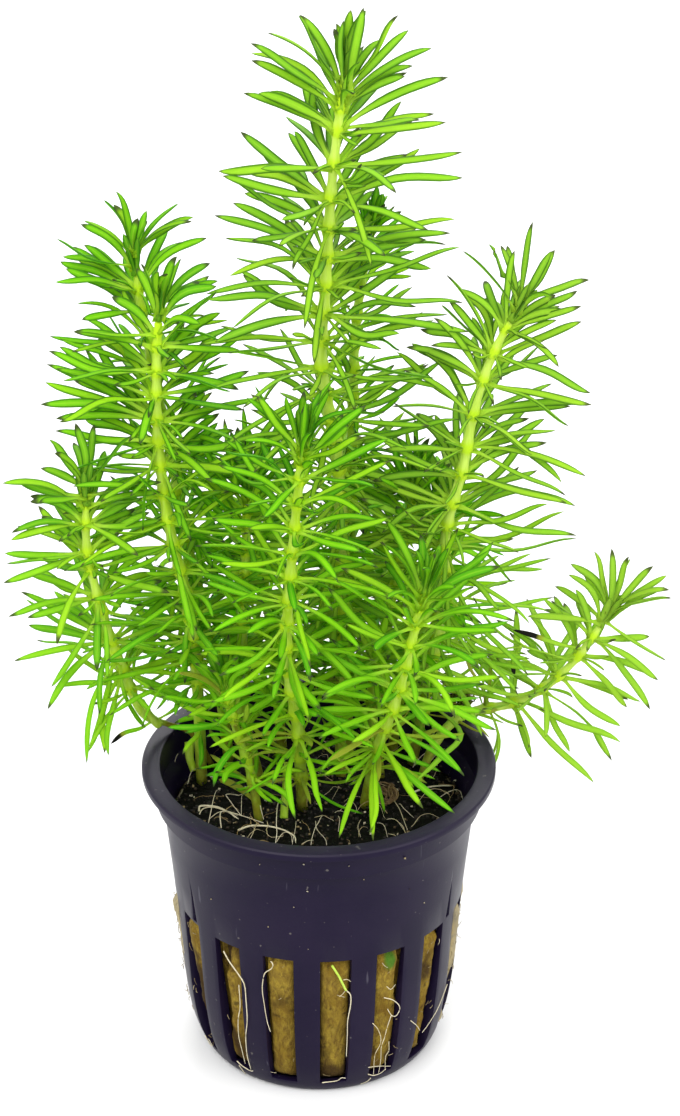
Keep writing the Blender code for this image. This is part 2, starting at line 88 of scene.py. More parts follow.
# The pot's outline as (radius, height), down the outside and up the inside
LIP_OUTSIDE = [(LIP_RADIUS - 0.25, POT_HEIGHT), (LIP_RADIUS, POT_HEIGHT - 0.22), (LIP_RADIUS, LIP_BOTTOM),
               (COLLAR_RADIUS, LIP_BOTTOM - 0.2), (COLLAR_RADIUS - 0.1, COLLAR_BOTTOM)]
WALL_OUTSIDE = [(24.4, 43.8), (22.8, SLOT_TOP), (21.9, 14.0), (20.9, 6.5), (19.7, SLOT_BOTTOM),
                (18.9, 0.7), (18.2, 0.0)]
FLOOR_OUTSIDE = [(FLOOR_HOLE_RADIUS, 0), (HUB_RADIUS, 0)]
FLOOR_INSIDE = [(HUB_RADIUS, FLOOR_THICKNESS), (FLOOR_HOLE_RADIUS, FLOOR_THICKNESS)]
WALL_INSIDE = [(17.6, FLOOR_THICKNESS), (18.6, SLOT_BOTTOM), (21.9, SLOT_TOP), (23.4, 43.4)]
LIP_INSIDE = [(COLLAR_INNER_RADIUS - 0.1, COLLAR_BOTTOM + COLLAR_STEP),
              (COLLAR_INNER_RADIUS, POT_HEIGHT - 0.1), (COLLAR_INNER_RADIUS + 0.2, POT_HEIGHT)]

# Stacking notches and edges
NOTCH_ANGLES = (-57, 61, 184)
NOTCH_TOP = 35.3
NOTCH_BOTTOM = 27.9
NOTCH_WIDTH = 1.7
NOTCH_DEPTH = 0.55
CUTTER_PROUD = 1.5
EDGE_ROUNDING = 0.22
ROUNDED_OVER = 38
SHARP_OVER = 50

# Rock wool: a skin behind the wall's inside, its bulges into the slots, and the edge of the black top
WOOL_BOTTOM = 1.7
WOOL_TOP = 42.0
WOOL_SHOULDER = 1.2
WOOL_GAP = 0.35
WOOL_SETBACK = 0.5
WIDEST_WOOL = 24.6
WOOL_COLUMNS = 384
WOOL_ROWS = 90
TOP_RINGS = 40
SLOT_BULGE = 1.75
SIDE_BULGE = 0.8
TOP_EDGE = 22.9

# Where the wool falls back behind the slots, drawn dark as painted shade: angle, height, half angle, half
# height and depth
HOLLOWS = [(-69, 12, 3.4, 12, 1.8), (-64, 6, 4.5, 4, 1.6), (-43.5, 18, 2.6, 10, 1.9),
           (-40.5, 25, 3, 3.5, 1.2), (-21.9, 16, 1.2, 11, 1.4), (34.6, 22, 1.9, 5, 1.7),
           (57, 16, 2.2, 12, 1.6), (55, 5, 3, 3, 1.2), (74, 10, 3.5, 5, 1.5), (-84, 20, 2.5, 4, 1.0)]

# The green patch at the top of one slot: angle, height, half angle and half height
ALGAE_PATCH = (29.5, 25.4, 3.4, 2.0)

# Stems: nodes swell above and below the whorls, and a runner is thinner by its share
STEM_RADIUS = 0.66
STEM_SIDES = 12
STEM_STEP = 0.55
STEM_SUNK = 1.2
NODE_SWELL = 0.33
SWELL_ABOVE = 1.3
SWELL_BELOW = 0.8
INTERNODE = 4.3
TOP_INTERNODE = 0.9
RUNNER_THINNER = 0.45
OLD_FOOT = 34.0
STUB_TAPER = 0.35

# Leaves: a section is how far across each point is, and which side of the blade it is on
LEAF_SEGMENTS = 12
HAND_SEGMENTS = 16
LEAF_THICKNESS = 0.13
LEAF_ROOT = 0.35
LEAF_NECK = 0.42
LEAF_SWELL = 0.58
FOOT_REACH = 0.05
FOOT_WIDENS = 0.8
FOOT_THICKENS = 1.6
TIP_FROM = 0.72
SECTION_ACROSS = np.array((-1.0, -0.55, 0.0, 0.55, 1.0, 0.55, 0.0, -0.55))
SECTION_SIDE = np.array((0.15, 1.0, 0.75, 1.0, 0.15, -1.0, -1.5, -1.0))
TIP_CROWDING = 1.25
ROLL = 40
FOLD = (0.05, 0.4)
SWAY = 14
WAVE = 9
LEAF_CLEARANCE = 0.5
LIFTS = (0, 8, 16, 24, 34, 46, -10, 58)
SHORTENINGS = (1.0, 0.85)
STEM_SLOT, LEAF_SLOT = 0, 1

# Buds and whorls: ranks count the whorls down from the bud, and those named RANKS say over how many
# whorls the looks of the youngest fade. Seen whorls more than CROWDED apart get more leaves, hidden ones
# at the back and short rays at the front. The turns of both are degrees off straight back or front, and
# their lengths are shares of the whorl's first leaf. Leaves are old from the first height of LOW_WHORLS
# to the second
YOUTH_RANKS = 2.4
YOUNG_SHORTER = 0.42
SHORTER_RANKS = 1.3
TIP_RISE = 62
RISE_RANKS = 2.6
FULL_RISE = 9
SAG_RANKS = 9
BUD_DEPTH = 3.0
BUD_LEAF = 7.0
BUD_LEAVES = 5
BUD_TURN = 2.4
BUD_YOUTH = 2.0
NODE_SPREAD = 0.4
WHORL_LEAVES = 13
CROWDED = 2.4
CLOSE_RANKS = 2.2
LOW_WHORLS = (66.0, 52.0)
HIDDEN_TURNS = (5, 78)
HIDDEN_RISES = (4, 30)
HIDDEN_LENGTHS = (0.8, 1.05)
FRONT_RAYS = 3
RAY_TURNS = (12, 62)
RAY_RISES = (-20, 35)
RAY_LENGTHS = (0.3, 0.6)
RAY_WIDTH = 0.62
HANGING_FROM = 6
HANGING_HEIGHT = 70.0
HANGING_SHARE = 0.6
HAND_WIDTH = 0.6

# Each shoot: stem route from the wool to the bud, leaf length, sag of the lower leaves in degrees,
# and the bare length above the wool
SHOOTS = {
    "tall": ([(3.5, 8, 42.3), (3.2, 9, 66), (3.5, 7, 84), (2.6, 5, 100), (0.4, 4, 114), (1, 4, 127),
              (1.7, 4, 140), (2.9, 4, 152), (4, 4, 160)], 17.5, 6, 12),
    "centre": ([(-2.6, -1, 42.3), (-3.2, -4, 57), (-4.8, -6.5, 72), (-4, -9, 88), (-3, -10, 100),
                (-2, -10, 110.5)], 14.5, 14, 5),
    "left": ([(-18.6, 6.5, 42.3), (-18.8, 4, 60), (-19.8, 1, 76), (-22.4, 0, 91), (-23.6, 1.5, 103),
              (-23.6, 2, 115), (-22.8, 2, 125)], 15.5, 9, 15),
    "right": ([(15.2, 12.8, 42.3), (17, 10.8, 56), (18.8, 5, 74), (19.2, 3, 88), (21.2, 2, 98),
               (23, 2, 109), (25.4, 2, 117), (29, 2, 124.6)], 16.5, 20, 8),
    "right_front": ([(7.2, -1, 42.3), (8.8, -5, 54), (11.6, -8, 64.5), (13.6, -10, 75),
                     (16.1, -10, 87)], 15.0, 26, 5),
    "far_left": ([(-17.4, 11.2, 42.3), (-18.8, 10.0, 46.2), (-20.8, 9.2, 49.4), (-24, 8.2, 51.2),
                  (-27.6, 5.6, 54.8), (-30.4, 2.4, 65), (-32.6, -1, 76), (-34.4, -2, 87),
                  (-34.2, -2, 97.5)], 13.5, 10, 20),
    "far_right": ([(16, 6, 42.3), (18, 6.8, 47.6), (20.8, 8.2, 51.1), (24.6, 10, 52.5),
                   (30, 11.4, 52.9), (35.2, 10.8, 56), (40.4, 10, 62), (45.2, 9.6, 70.6)], 13.5, 24, 14),
    "left_back": ([(-14.6, 13.6, 42.3), (-16, 13, 57), (-19, 11.4, 73), (-21.4, 10.4, 91), (-24, 10, 107),
                   (-26, 10, 120), (-27, 10, 129)], 13.5, 6, 18),
    "tall_back": ([(4.5, 15.5, 42.3), (4.8, 15, 70), (5, 14, 97), (5.4, 14, 114), (6.8, 14, 127),
                   (8.2, 14, 134)], 8.5, -4, 14),
    "mid_right": ([(9.6, 8.5, 42.3), (8.4, 10, 56), (11, 8.4, 72), (13.4, 8, 85), (14.6, 8, 96)],
                  14.0, 14, 8),
    "mid_left": ([(-9.6, 7, 42.3), (-12, 7, 56), (-11.4, 6, 76), (-10.6, 6, 95)], 14.5, 14, 8),
    "low_left": ([(-9.4, -4.6, 42.3), (-10.4, -4, 49), (-12.4, -4.6, 57), (-15, -5, 68)], 11.5, 24, 4),
    "back_left": ([(-6, 16.5, 42.3), (-7.4, 18, 60), (-9.6, 19, 78), (-12, 19.6, 92)], 14.5, 14, 8),
    "back_right": ([(12, 16, 42.3), (13.8, 17.4, 60), (16.6, 18, 76), (19, 18, 88)], 14.5, 14, 8),
}

# How washed out a shoot's green is, from 0 to 1
PALENESS = {"far_right": 1.0, "right": 0.75, "tall": 0.6, "far_left": 0.3, "left": 0.1,
            "right_front": 0.1}

# How wide a shoot's leaves are, where they are narrower than the other shoots' leaves
LEAF_WIDTHS = {"tall": 0.96, "right": 0.8, "far_right": 0.76, "left": 0.9, "left_back": 0.86,
               "far_left": 0.86, "tall_back": 0.7}

# Leaves in a whorl, where a shoot has fewer than WHORL_LEAVES
SPARSE = {"far_right": 8, "right": 12}

# Lengths of the thin old runners that lead over the lip to a shoot
RUNNERS = {"far_left": 19, "far_right": 6}

# Whorls that show in the photo, youngest first: the node's height, then each leaf's turn in degrees
# from the right towards the back, its rise in degrees and its length
WHORLS = {
    "tall": [
        (156.8, [(0, 78, 11), (30, 88, 10), (150, 84, 8), (60, 70, 9), (200, 80, 8)]),
        (155.4, [(180, 62, 12), (165, 60, 12), (10, 50, 13)]),
        (154.4, [(180, 42, 14), (5, 42, 13), (45, 40, 10), (-60, 50, 9)]),
        (153.6, [(185, 34, 15), (0, 34, 15), (60, 35, 10), (120, 45, 11)]),
        (152.8, [(180, 32, 14), (170, 28, 15), (0, 30, 12), (-5, 26, 10), (-80, 35, 8)]),
        (149.4, [(0, 36, 13), (5, 22, 17), (-10, 6, 15), (180, 26, 12), (175, 18, 14), (120, 28, 14),
                 (70, 30, 13)]),
        (144.6, [(180, 3, 16), (220, 12, 14), (115, 30, 14), (100, 22, 13), (0, 5, 18), (35, 12, 15),
                 (-45, 0, 13)]),
        (139.5, [(180, 19, 16), (110, 30, 14), (0, 12, 19), (30, 14, 16), (235, 7, 12), (-25, -2, 16),
                 (75, 25, 14)]),
        (135.0, [(180, 31, 15), (180, -5, 11), (0, 10, 18), (65, 12, 13), (230, 4, 13), (0, -7, 17),
                 (-45, -1, 13), (120, 28, 14)]),
        (130.7, [(150, 22, 16), (180, 20, 17), (180, -8, 14), (0, 14, 18), (0, -6, 15), (70, 10, 13),
                 (110, 25, 15), (-100, 5, 10)]),
        (126.3, [(180, 29, 17), (180, 0, 17), (210, -10, 16), (0, 17, 20), (0, -9, 20), (60, 20, 15),
                 (115, 20, 15)]),
        (122.2, [(145, 28, 16), (0, -4, 21), (-45, 0, 15), (180, 12, 17), (195, -12, 16), (60, 15, 16)]),
    ],
    "left": [
        (123.3, [(180, 74, 8), (0, 73, 9), (-60, 66, 9), (260, 62, 9), (60, 45, 9), (35, 40, 10)]),
        (121.8, [(0, 32, 10), (40, 22, 9), (120, 45, 9)]),
        (120.0, [(0, 22, 7), (-35, 22, 9), (185, 10, 11), (140, 30, 9)]),
        (117.7, [(0, 46, 12), (180, 12, 12), (0, -8, 12), (37, 0, 13), (130, 25, 12), (-80, 10, 9)]),
        (113.8, [(180, 15, 16), (180, 9, 15), (210, 4, 14), (0, -12, 12), (-40, 2, 13), (90, 20, 12),
                 (40, 15, 13)]),
        (110.2, [(180, 16, 15), (125, 5, 13), (260, -30, 9), (0, -16, 13), (195, -6, 15), (60, 15, 13)]),
        (106.3, [(180, 16, 17), (150, 14, 14), (185, 12, 17), (180, -1, 15), (0, -13, 13), (60, 10, 14),
                 (-60, -10, 10)]),
        (102.8, [(0, -4, 12), (140, 2, 13), (40, -6, 13), (180, 5, 15), (200, -12, 13), (-50, -15, 11)]),
        (99.2, [(0, -2, 12), (0, -22, 13), (225, -10, 12), (180, -4, 14), (110, 10, 13), (50, 8, 13)]),
    ],
    "left_back": [
        (129.0, [(180, 82, 10), (135, 50, 9), (120, 60, 8), (200, 40, 9), (0, 86, 6), (0, 69, 6), (0, 47, 10),
                 (5, 33, 10), (15, 28, 10)]),
        (126.8, [(180, 16, 12), (90, 40, 10), (150, 30, 11)]),
        (123.4, [(0, 38, 13), (160, 35, 10), (176, 15, 11), (180, 5, 12), (70, 30, 12)]),
        (120.0, [(215, 10, 12), (136, 10, 12), (0, 20, 12), (90, 20, 12)]),
    ],
    "right": [
        (124.6, [(0, 65, 9), (20, 55, 9), (180, 65, 10), (80, 60, 12), (0, 22, 10), (120, 50, 9)]),
        (123.5, [(180, 52, 12), (-50, 32, 10), (100, 50, 10)]),
        (120.5, [(0, 86, 12), (180, 42, 9), (120, 30, 10), (0, 14, 9), (10, 27, 9), (0, 15, 11),
                 (-35, -15, 10)]),
        (116.8, [(180, 60, 14), (180, 48, 10), (180, 9, 9), (0, 29, 10), (0, -20, 15), (90, 20, 12)]),
        (112.4, [(180, 55, 13), (180, 22, 10), (0, 35, 11), (0, -12, 16), (0, -25, 14), (90, 15, 12)]),
        (107.0, [(0, 1, 16), (0, -38, 17), (-60, -12, 12), (180, 40, 13), (180, 10, 12), (100, 20, 12)]),
        (101.8, [(0, 8, 13), (0, -13, 18), (0, -28, 17), (180, 35, 13), (190, 5, 12), (75, 20, 13)]),
        (97.5, [(0, -16, 16), (10, -17, 18), (180, 30, 14), (180, -5, 13), (110, 20, 12)]),
        (92.5, [(0, -14, 19), (40, 5, 15), (180, 20, 14), (200, -15, 12), (100, 20, 12)]),
        (88.5, [(0, 22, 16), (-40, 0, 13), (180, 20, 14), (180, -15, 13), (80, 20, 12)]),
        (84.5, [(0, 8, 20), (180, 15, 14), (-30, -12, 13), (100, 15, 12)]),
    ],
    "far_right": [
        (70.6, [(0, 78, 10), (100, 86, 11), (180, 74, 11), (50, 55, 9), (0, 54, 10), (0, 31, 10),
                (-15, 24, 10), (0, -5, 10), (180, 57, 11), (125, 40, 8)]),
        (68.6, [(0, -10, 11), (0, -34, 12), (145, 25, 9), (180, 60, 11), (180, 10, 12)]),
        (65.8, [(0, -3, 9), (0, -27, 12), (0, -54, 15), (180, 31, 9), (180, 70, 9)]),
        (62.4, [(0, -19, 12), (180, 63, 12), (180, 1, 8), (0, -50, 13), (100, 30, 10)]),
        (58.5, [(0, -23, 15), (0, -42, 14), (180, 65, 12), (180, 46, 12), (10, -29, 13), (180, 10, 10)]),
        (56.0, [(0, -46, 17), (0, -69, 13), (-80, -30, 9), (180, 37, 9), (150, 15, 12)]),
        (53.2, [(0, -49, 19), (0, -14, 18), (-70, -40, 9), (180, 20, 12), (120, 20, 11)]),
    ],
    "far_left": [
        (97.5, [(180, 84, 10), (70, 60, 9), (0, 55, 11), (180, 55, 9), (215, 52, 9), (180, 27, 7)]),
        (95.8, [(180, 18, 10), (0, 12, 9), (0, 8, 11), (220, 15, 9), (100, 30, 10)]),
        (94.4, [(180, 24, 13), (0, 10, 11), (180, 3, 8), (80, 20, 11)]),
        (91.2, [(180, 27, 9), (180, 4, 11), (180, -6, 11), (0, 3, 11), (60, 15, 12), (-40, -5, 11)]),
        (86.5, [(180, -2, 12), (0, 35, 11), (140, 5, 12), (30, 5, 13), (195, -16, 13)]),
        (83.6, [(205, 5, 13), (230, -50, 12), (130, -5, 12), (0, 20, 12), (-20, -10, 12)]),
        (78.5, [(140, 5, 12), (180, -17, 14), (260, -60, 11), (180, -20, 11), (20, 5, 13)]),
        (76.2, [(186, -62, 16), (90, 10, 12), (0, -10, 13)]),
        (70.2, [(180, -10, 15), (180, -48, 16), (180, 10, 13), (0, -20, 13)]),
        (68.0, [(188, -75, 18), (60, 0, 12)]),
        (64.0, [(193, -77, 15), (0, -30, 12)]),
    ],
}

# Leaves listed one by one: width before it is narrowed by HAND_WIDTH, dryness and the points along the middle
HAND_LEAVES = {
    "tall": [
        (2.5, 0, [(4.3, 3.4, 155), (4.5, 2.6, 159), (5.2, 2.4, 163.2), (6.1, 3, 167.4)]),
        (1.6, 0, [(3.6, 3.4, 155.5), (3.2, 2.8, 159), (3.0, 2.8, 162.5), (3.4, 3, 165.6)]),
        (1.4, 0, [(3.0, 2.8, 142.6), (4.4, 1.2, 143.4), (5.2, 0.6, 144.6), (6.0, 0.4, 146)]),
        (1.2, 0, [(3.0, 2.8, 142.6), (4.8, 1.6, 142.8), (6.2, 1.2, 143.6), (7.6, 1, 145)]),
    ],
    "right_front": [
        (1.5, 0, [(8.5, -5, 54), (8, -14, 53), (8, -20, 51.8), (8, -24.5, 50.4)]),
        (1.3, 0, [(8.5, -5, 54), (8.5, -16, 53.5), (8.5, -20, 52.5), (7.5, -23.5, 50.8)]),
        (1.5, 0, [(8.3, -5, 53.5), (6, -12, 52.5), (4.5, -17, 51.5), (3, -22, 49.2)]),
        (1.8, 0, [(9.2, -5, 56.5), (12, -12, 55), (13.5, -16, 54), (15.5, -19, 52.5)]),
        (1.7, 0, [(9, -5, 54), (12.5, -11, 54.3), (16, -15, 53.2), (20.3, -18, 51)]),
        (1.4, 0, [(8.6, -5, 54), (6.5, -9, 54.3), (5, -11, 54), (4, -12.5, 53)]),
        (1.6, 0, [(8.6, -5, 55), (6.5, -10, 56), (4, -12, 56), (0.5, -14, 55)]),
    ],
    "centre": [
        (1.7, 0, [(-3.2, -4.5, 56), (-4.5, -12, 54.3), (-4.2, -16, 52), (-3.5, -18, 50)]),
        (1.8, 0, [(-2.8, -4.5, 56), (-1, -12, 54.5), (-0.5, -15, 52.8), (0.5, -17.5, 51)]),
        (1.4, 0, [(-3.5, -4.5, 55), (-5.5, -9, 54.8), (-6.5, -12, 54), (-7, -13.5, 53.2)]),
    ],
    "low_left": [
        (1.8, 0, [(-10.6, -4.3, 54), (-13, -6, 55), (-15.5, -9, 53), (-16, -11, 51.3)]),
        (2.1, 0, [(-10.3, -4.6, 50.5), (-12, -5.5, 52), (-14, -8, 52.2), (-14.5, -10, 51.3)]),
        (1.4, 0, [(-10.2, -4.8, 49.5), (-10, -7, 49.4), (-8.5, -9.5, 48.7), (-7, -11.5, 48.8)]),
        (1.5, 0, [(-10, -5, 49), (-6.5, -8.5, 49.6), (-4.8, -10, 49), (-4, -12, 48.3)]),
        (2.0, 0.55, [(-9.6, -4.5, 44.5), (-12, -1, 44.6), (-14, 2, 44), (-15.8, 4.5, 43.2)]),
    ],
    "right": [
        (1.5, 0, [(16.9, 11, 54), (22, 1, 53.8), (18.5, -7, 54), (14.5, -12, 52.8)]),
    ],
    "left": [
        (1.5, 0, [(-18.7, 5, 53), (-18.8, 1, 53.3), (-20, -1, 53), (-21, -2.5, 52)]),
        (1.4, 0, [(-18.7, 5.2, 52), (-18.4, 2, 51), (-18.3, 0.5, 49.6), (-18.6, 0, 48)]),
    ],
    "far_left": [
        (2.0, 0, [(-30.4, 2.4, 63), (-31.5, 1, 58.8), (-32.5, -1, 54.8), (-32.5, -2, 51.5)]),
        (1.6, 0, [(-30.7, 2, 66), (-33.5, -2, 63.5), (-35, -4, 59), (-35.5, -6, 52.5)]),
        (1.7, 0, [(-30.6, 2, 66), (-30, -0.5, 62), (-28.5, 1, 57), (-27, 3, 53.5)]),
        (1.3, 1.4, [(-26, 6.8, 52.6), (-28, 5, 52.2), (-30.5, 4, 51.9), (-32.5, 3, 50.6)]),
        (1.3, 0, [(-25.5, 7.2, 52.4), (-22.5, 9, 53.6), (-20.5, 11, 56)]),
    ],
    "far_right": [
        (1.2, 0, [(40, 10, 61.4), (36, 8.5, 63.5), (31, 7, 66), (28, 6, 68.5), (25.5, 5, 72), (23.5, 4, 76)]),
        (1.2, 0, [(31.5, 7, 65.8), (28, 7, 65.2), (23.5, 6, 65.2), (18.5, 4, 65.5)]),
        (1.1, 0, [(38, 10.4, 59), (33.5, 8.5, 60), (30.5, 8, 60.2), (28, 8, 61.5), (26, 8, 63.5)]),
        (1.5, 0, [(34.6, 11, 55.6), (30.5, 8, 56.5), (26, 7, 58.5), (22, 5, 61.5), (18.5, 4, 64)]),
        (1.1, 0.5, [(26.5, 10.4, 53.4), (25.5, 9, 57.5), (23.5, 8, 61.5), (22.5, 8, 65.5), (21.5, 8, 67.5)]),
        (0.9, 0, [(32, 7.2, 65.6), (30.5, 7, 67), (29.5, 7, 68.2)]),
        (1.3, 3, [(31, 7.2, 65.6), (30.5, 7.6, 63.4), (30.3, 7.8, 61.8), (30.6, 8, 60.2)]),
        (1.4, 3, [(42, 10, 63.6), (37.5, 9, 65), (33.6, 9, 66.5), (30.2, 9, 67.6)]),
    ],
}

# Stem ends beside the shoots: radius, age of the foot and the points
STUBS = {
    "left": [(0.85, 0.25, [(-20.6, 10.2, 46.6), (-20.6, 9.4, 44.4), (-20.0, 8.6, 42.3)])],
    "low_left": [(0.65, 0.75, [(-5.4, -5.5, 42.3), (-5.2, -3.5, 46), (-5.0, -1.5, 50)])],
    "far_left": [(0.8, 0.3, [(-25.2, 7.4, 51.6), (-26.5, 6.2, 53.8), (-27.6, 5.2, 57)])],
}

# Hair roots on the wool: radius before SOIL_THINNING, tint, how high the root arches, and its places
# seen from above
SOIL_THINNING = 0.4
SOIL_ROOTS = [
    (0.24, 0.15, 0.5, [(-18.5, -5), (-18, -3.7), (-16.5, -3.5), (-14, -5), (-12, -6), (-9.5, -7.1),
                       (-8.5, -7.5)]),
    (0.17, 0.10, 2.2, [(-17, -7.5), (-16.5, -5), (-16, -1.5), (-15.5, 2)]),
    (0.22, 0.05, 1.2, [(-12.5, 0.5), (-13.5, 0), (-14.5, -1), (-13.5, -3.5), (-12, -5.5)]),
    (0.17, 0.12, 1.6, [(-12.5, 0.5), (-12, -1), (-12, -3.5), (-12, -5.5)]),
    (0.22, 0.08, 1.4, [(-15, -9), (-15.2, -7.5), (-15, -6.5), (-14, -5.6), (-13, -6)]),
    (0.22, 0.05, 2.6, [(-10.5, 3.5), (-10, -0.5), (-9, -5), (-8.5, -6.5)]),
    (0.24, 0.06, 1.8, [(-6, -0.5), (-6.4, -5.5), (-6.5, -9.5), (-6.4, -11.5), (-6.6, -13.2)]),
    (0.15, 0.20, 0.8, [(-17, -6.5), (-15.5, -5.6), (-14.5, -5.5), (-12.5, -5.5)]),
    (0.13, 0.15, 0.8, [(-6.5, -13), (-5.5, -11.6), (-4.8, -11.5), (-4.2, -12.2), (-4, -13.6)]),
    (0.14, 0.10, 0.8, [(-3.5, -7), (-3.6, -10.5), (-4, -13)]),
    (0.19, 0.08, 1.2, [(0.5, -5.5), (0, -9), (-0.5, -10.5), (-1, -12.5), (-1.2, -13.8)]),
    (0.16, 0.10, 0.6, [(-0.5, -7), (-0.4, -9.5), (0, -11), (1, -12.6), (1.2, -13.8)]),
    (0.14, 0.25, 0.3, [(-2.6, -13.6), (-1.6, -13), (-0.8, -12.4)]),
    (0.20, 0.10, 2.0, [(-21.3, 12.5), (-22.3, 10.5), (-22.9, 8), (-23.1, 6)]),
    (0.20, 0.00, 0.5, [(-20, 8.2), (-20.4, 6), (-20.7, 4)]),
    (0.20, 0.00, 0.5, [(-19.8, 8.4), (-19, 7.2), (-18.4, 7)]),
    (0.22, 0.45, 0.4, [(-9.5, -7.5), (-10, -10.6), (-10.5, -12)]),
    (0.17, 0.10, 1.8, [(15, 9), (16.5, 10.5), (18.5, 11.5), (20.3, 13), (21.5, 14)]),
    (0.14, 0.15, 1.4, [(18, 11), (20.3, 12.6), (21.5, 13.6)]),
    (0.13, 0.12, 1.4, [(17, 15), (17.8, 13.5), (18.5, 13)]),
    (0.17, 0.05, 1.2, [(19, 0), (20.5, 0), (22, 0.5), (22.5, -0.5)]),
    (0.18, 0.10, 1.0, [(12.5, -2), (13, -4.5), (14, -5.6), (14.7, -6)]),
    (0.20, 0.30, 1.2, [(11.5, -0.5), (12, -3.5), (12.5, -5.5), (13, -7.5), (13.6, -9.5)]),
    (0.15, 0.10, 0.8, [(10.5, -6.5), (11.5, -7.5), (13, -9.4)]),
    (0.14, 0.10, 0.8, [(9, -7.5), (10, -9.5), (10.5, -11.6)]),
    (0.15, 0.10, 0.6, [(2.5, -4.5), (3.5, -5), (4.4, -5)]),
    (0.14, 0.20, 0.6, [(3, -5.5), (3.2, -7.5), (3, -10)]),
    (0.13, 0.25, 0.5, [(6.5, -6.5), (6, -9.5), (6.4, -11.6)]),
]

# Roots on the pot's wall and in its slots: radius before WALL_THINNING, tint and (angle, height) places
WALL_THINNING = 0.52
WALL_ROOTS = [
    (0.20, 0.05, [(-39.5, 26), (-37, 24.5), (-32.5, 22.5), (-30.3, 21), (-30, 18), (-30, 14), (-31.6, 10.5),
                  (-32, 6.5), (-32, 3)]),
    (0.18, 0.15, [(-33, 20.5), (-33, 16.5), (-34.5, 13.5), (-35.3, 10), (-34.5, 7), (-34.5, 4)]),
    (0.18, 0.05, [(-39.5, 3.6), (-37, 3), (-33, 2.6), (-31, 2.8)]),
    (0.16, 0.05, [(-39, 2.6), (-38, 1.4), (-37.6, 0.6)]),
    (0.17, 0.10, [(-18.5, 27), (-17.6, 26.4), (-18.5, 25.5), (-21, 24.5), (-22, 23), (-22.5, 21), (-22, 18.5),
                  (-21, 15), (-19.8, 13)]),
    (0.18, 0.02, [(10.5, 22), (12.3, 21), (12.5, 19), (11.5, 16), (11.5, 13), (11.5, 8.5)]),
    (0.16, 0.05, [(1.5, 2.7), (8, 3), (10, 3.6), (12, 3.4)]),
    (0.12, 0.20, [(9.5, 24), (11, 24), (12.4, 23.5)]),
    (0.12, 0.30, [(8, 20.8), (9.2, 21.2), (10.2, 21.8)]),
    (0.16, 0.02, [(26.5, 19), (30.5, 18), (33.5, 16.6), (34.3, 15.5), (32.6, 14.5), (30.4, 15),
                  (28.4, 16.5)]),
    (0.14, 0.15, [(30.4, 15), (29, 13), (28, 10.5), (27, 9), (27.5, 6), (28, 2.8)]),
    (0.14, 0.25, [(22, 14.5), (24.5, 13), (26.3, 11), (26.3, 9.5), (24.6, 8), (24.2, 6.5), (25.4, 2.8)]),
    (0.13, 0.20, [(30.5, 9.5), (31, 7.5), (29.7, 6.5), (31.3, 3)]),
    (0.15, 0.05, [(22.5, 3.3), (25.5, 2.6), (29, 2.6), (31.5, 3.2)]),
    (0.13, 0.05, [(22, 5), (27, 4.6), (34, 3.4)]),
    (0.13, 0.10, [(24.5, 2), (23, 1.2), (20, 0.9)]),
    (0.12, 0.10, [(27.5, 21), (29.5, 20.2), (31.5, 20.8)]),
    (0.15, 0.05, [(41, 12), (45.5, 10), (48, 8.5)]),
    (0.15, 0.10, [(68, 13), (61, 10), (54, 8.4), (50, 7.6)]),
    (0.14, 0.15, [(-64, 3.6), (-61, 2.4), (-58, 2.8), (-60, 3.8)]),
    (0.13, 0.35, [(-78, 24), (-74, 22), (-72, 18)]),
]
SPROUT = [(5, 27), (7.5, 25), (9, 23.5), (10.5, 22)]
SPROUT_RADIUS = 0.18
SPROUT_PROUD = 0.35
ROOT_BALL = (10.8, -1.0, 43.8)
ROOT_BALL_RADIUS = 1.7
ROOT_BALL_LOOPS = 26
STRAY_ROOTS = 60
STRAY_STEPS = 12

# The CAD's thick roots, seen from above
ROOT_HEIGHT = WOOL_TOP + 0.68
THICK_ROOT = 0.17
THICK_ROOTS = {
    "root_front": [(-12.4, -9.6), (-10.6, -8.4), (-8, -8.4), (-5.6, -9.4), (-3.8, -11.2), (-3.5, -13.2)],
    "root_left": [(-18.6, -4), (-18.4, -2.6), (-16, -2.8), (-14, -4.4), (-12.4, -6.4)],
    "root_right": [(14.8, 1.4), (16.8, 2.8), (19, 3.4), (21, 3.4)],
}

# Moss, wool fibres and crumbs
MOSS_CENTRE = (22.2, 15.2, 52.3)
MOSS_SIZE = (3.0, 1.9, 2.2)
MOSS_STRANDS = 150
STRAND_STEPS = 7
STRAND_STEP = 0.55
FIBRES = 420
FIBRE_POINTS = 6
CRUMBS = 1400

# Specks of dust and husk on the collar and lip: angle, height, size and tint
SPECKS = [(30, 45.8, 0.7, 0.7), (22, 47.4, 0.4, 0.8), (-5, 46.9, 0.35, 0.9), (-4, 41.2, 0.4, 0.85),
          (10, 46.4, 0.25, 0.8), (-20, 45.9, 0.3, 0.8), (-9, 38.0, 0.25, 0.8), (-19, 33.5, 0.35, 0.7),
          (-4, 30.0, 0.25, 0.75), (35, 38.6, 0.4, 0.1), (16, 42.8, 0.25, 0.7), (43, 34.5, 0.3, 0.75),
          (-44, 35.0, 0.3, 0.7)]

# Camera: the photograph's frame and where the pot's axis stands in it, in its pixels
PHOTO_WIDTH = 680
PHOTO_HEIGHT = 1116
FOCAL_PIXELS = 2700
POT_AXIS_PIXEL = 318.8
CAMERA_PLACE = (0.0, -361.0, 266.1)
CAMERA_PITCH = 26.69
SENSOR = 36.0

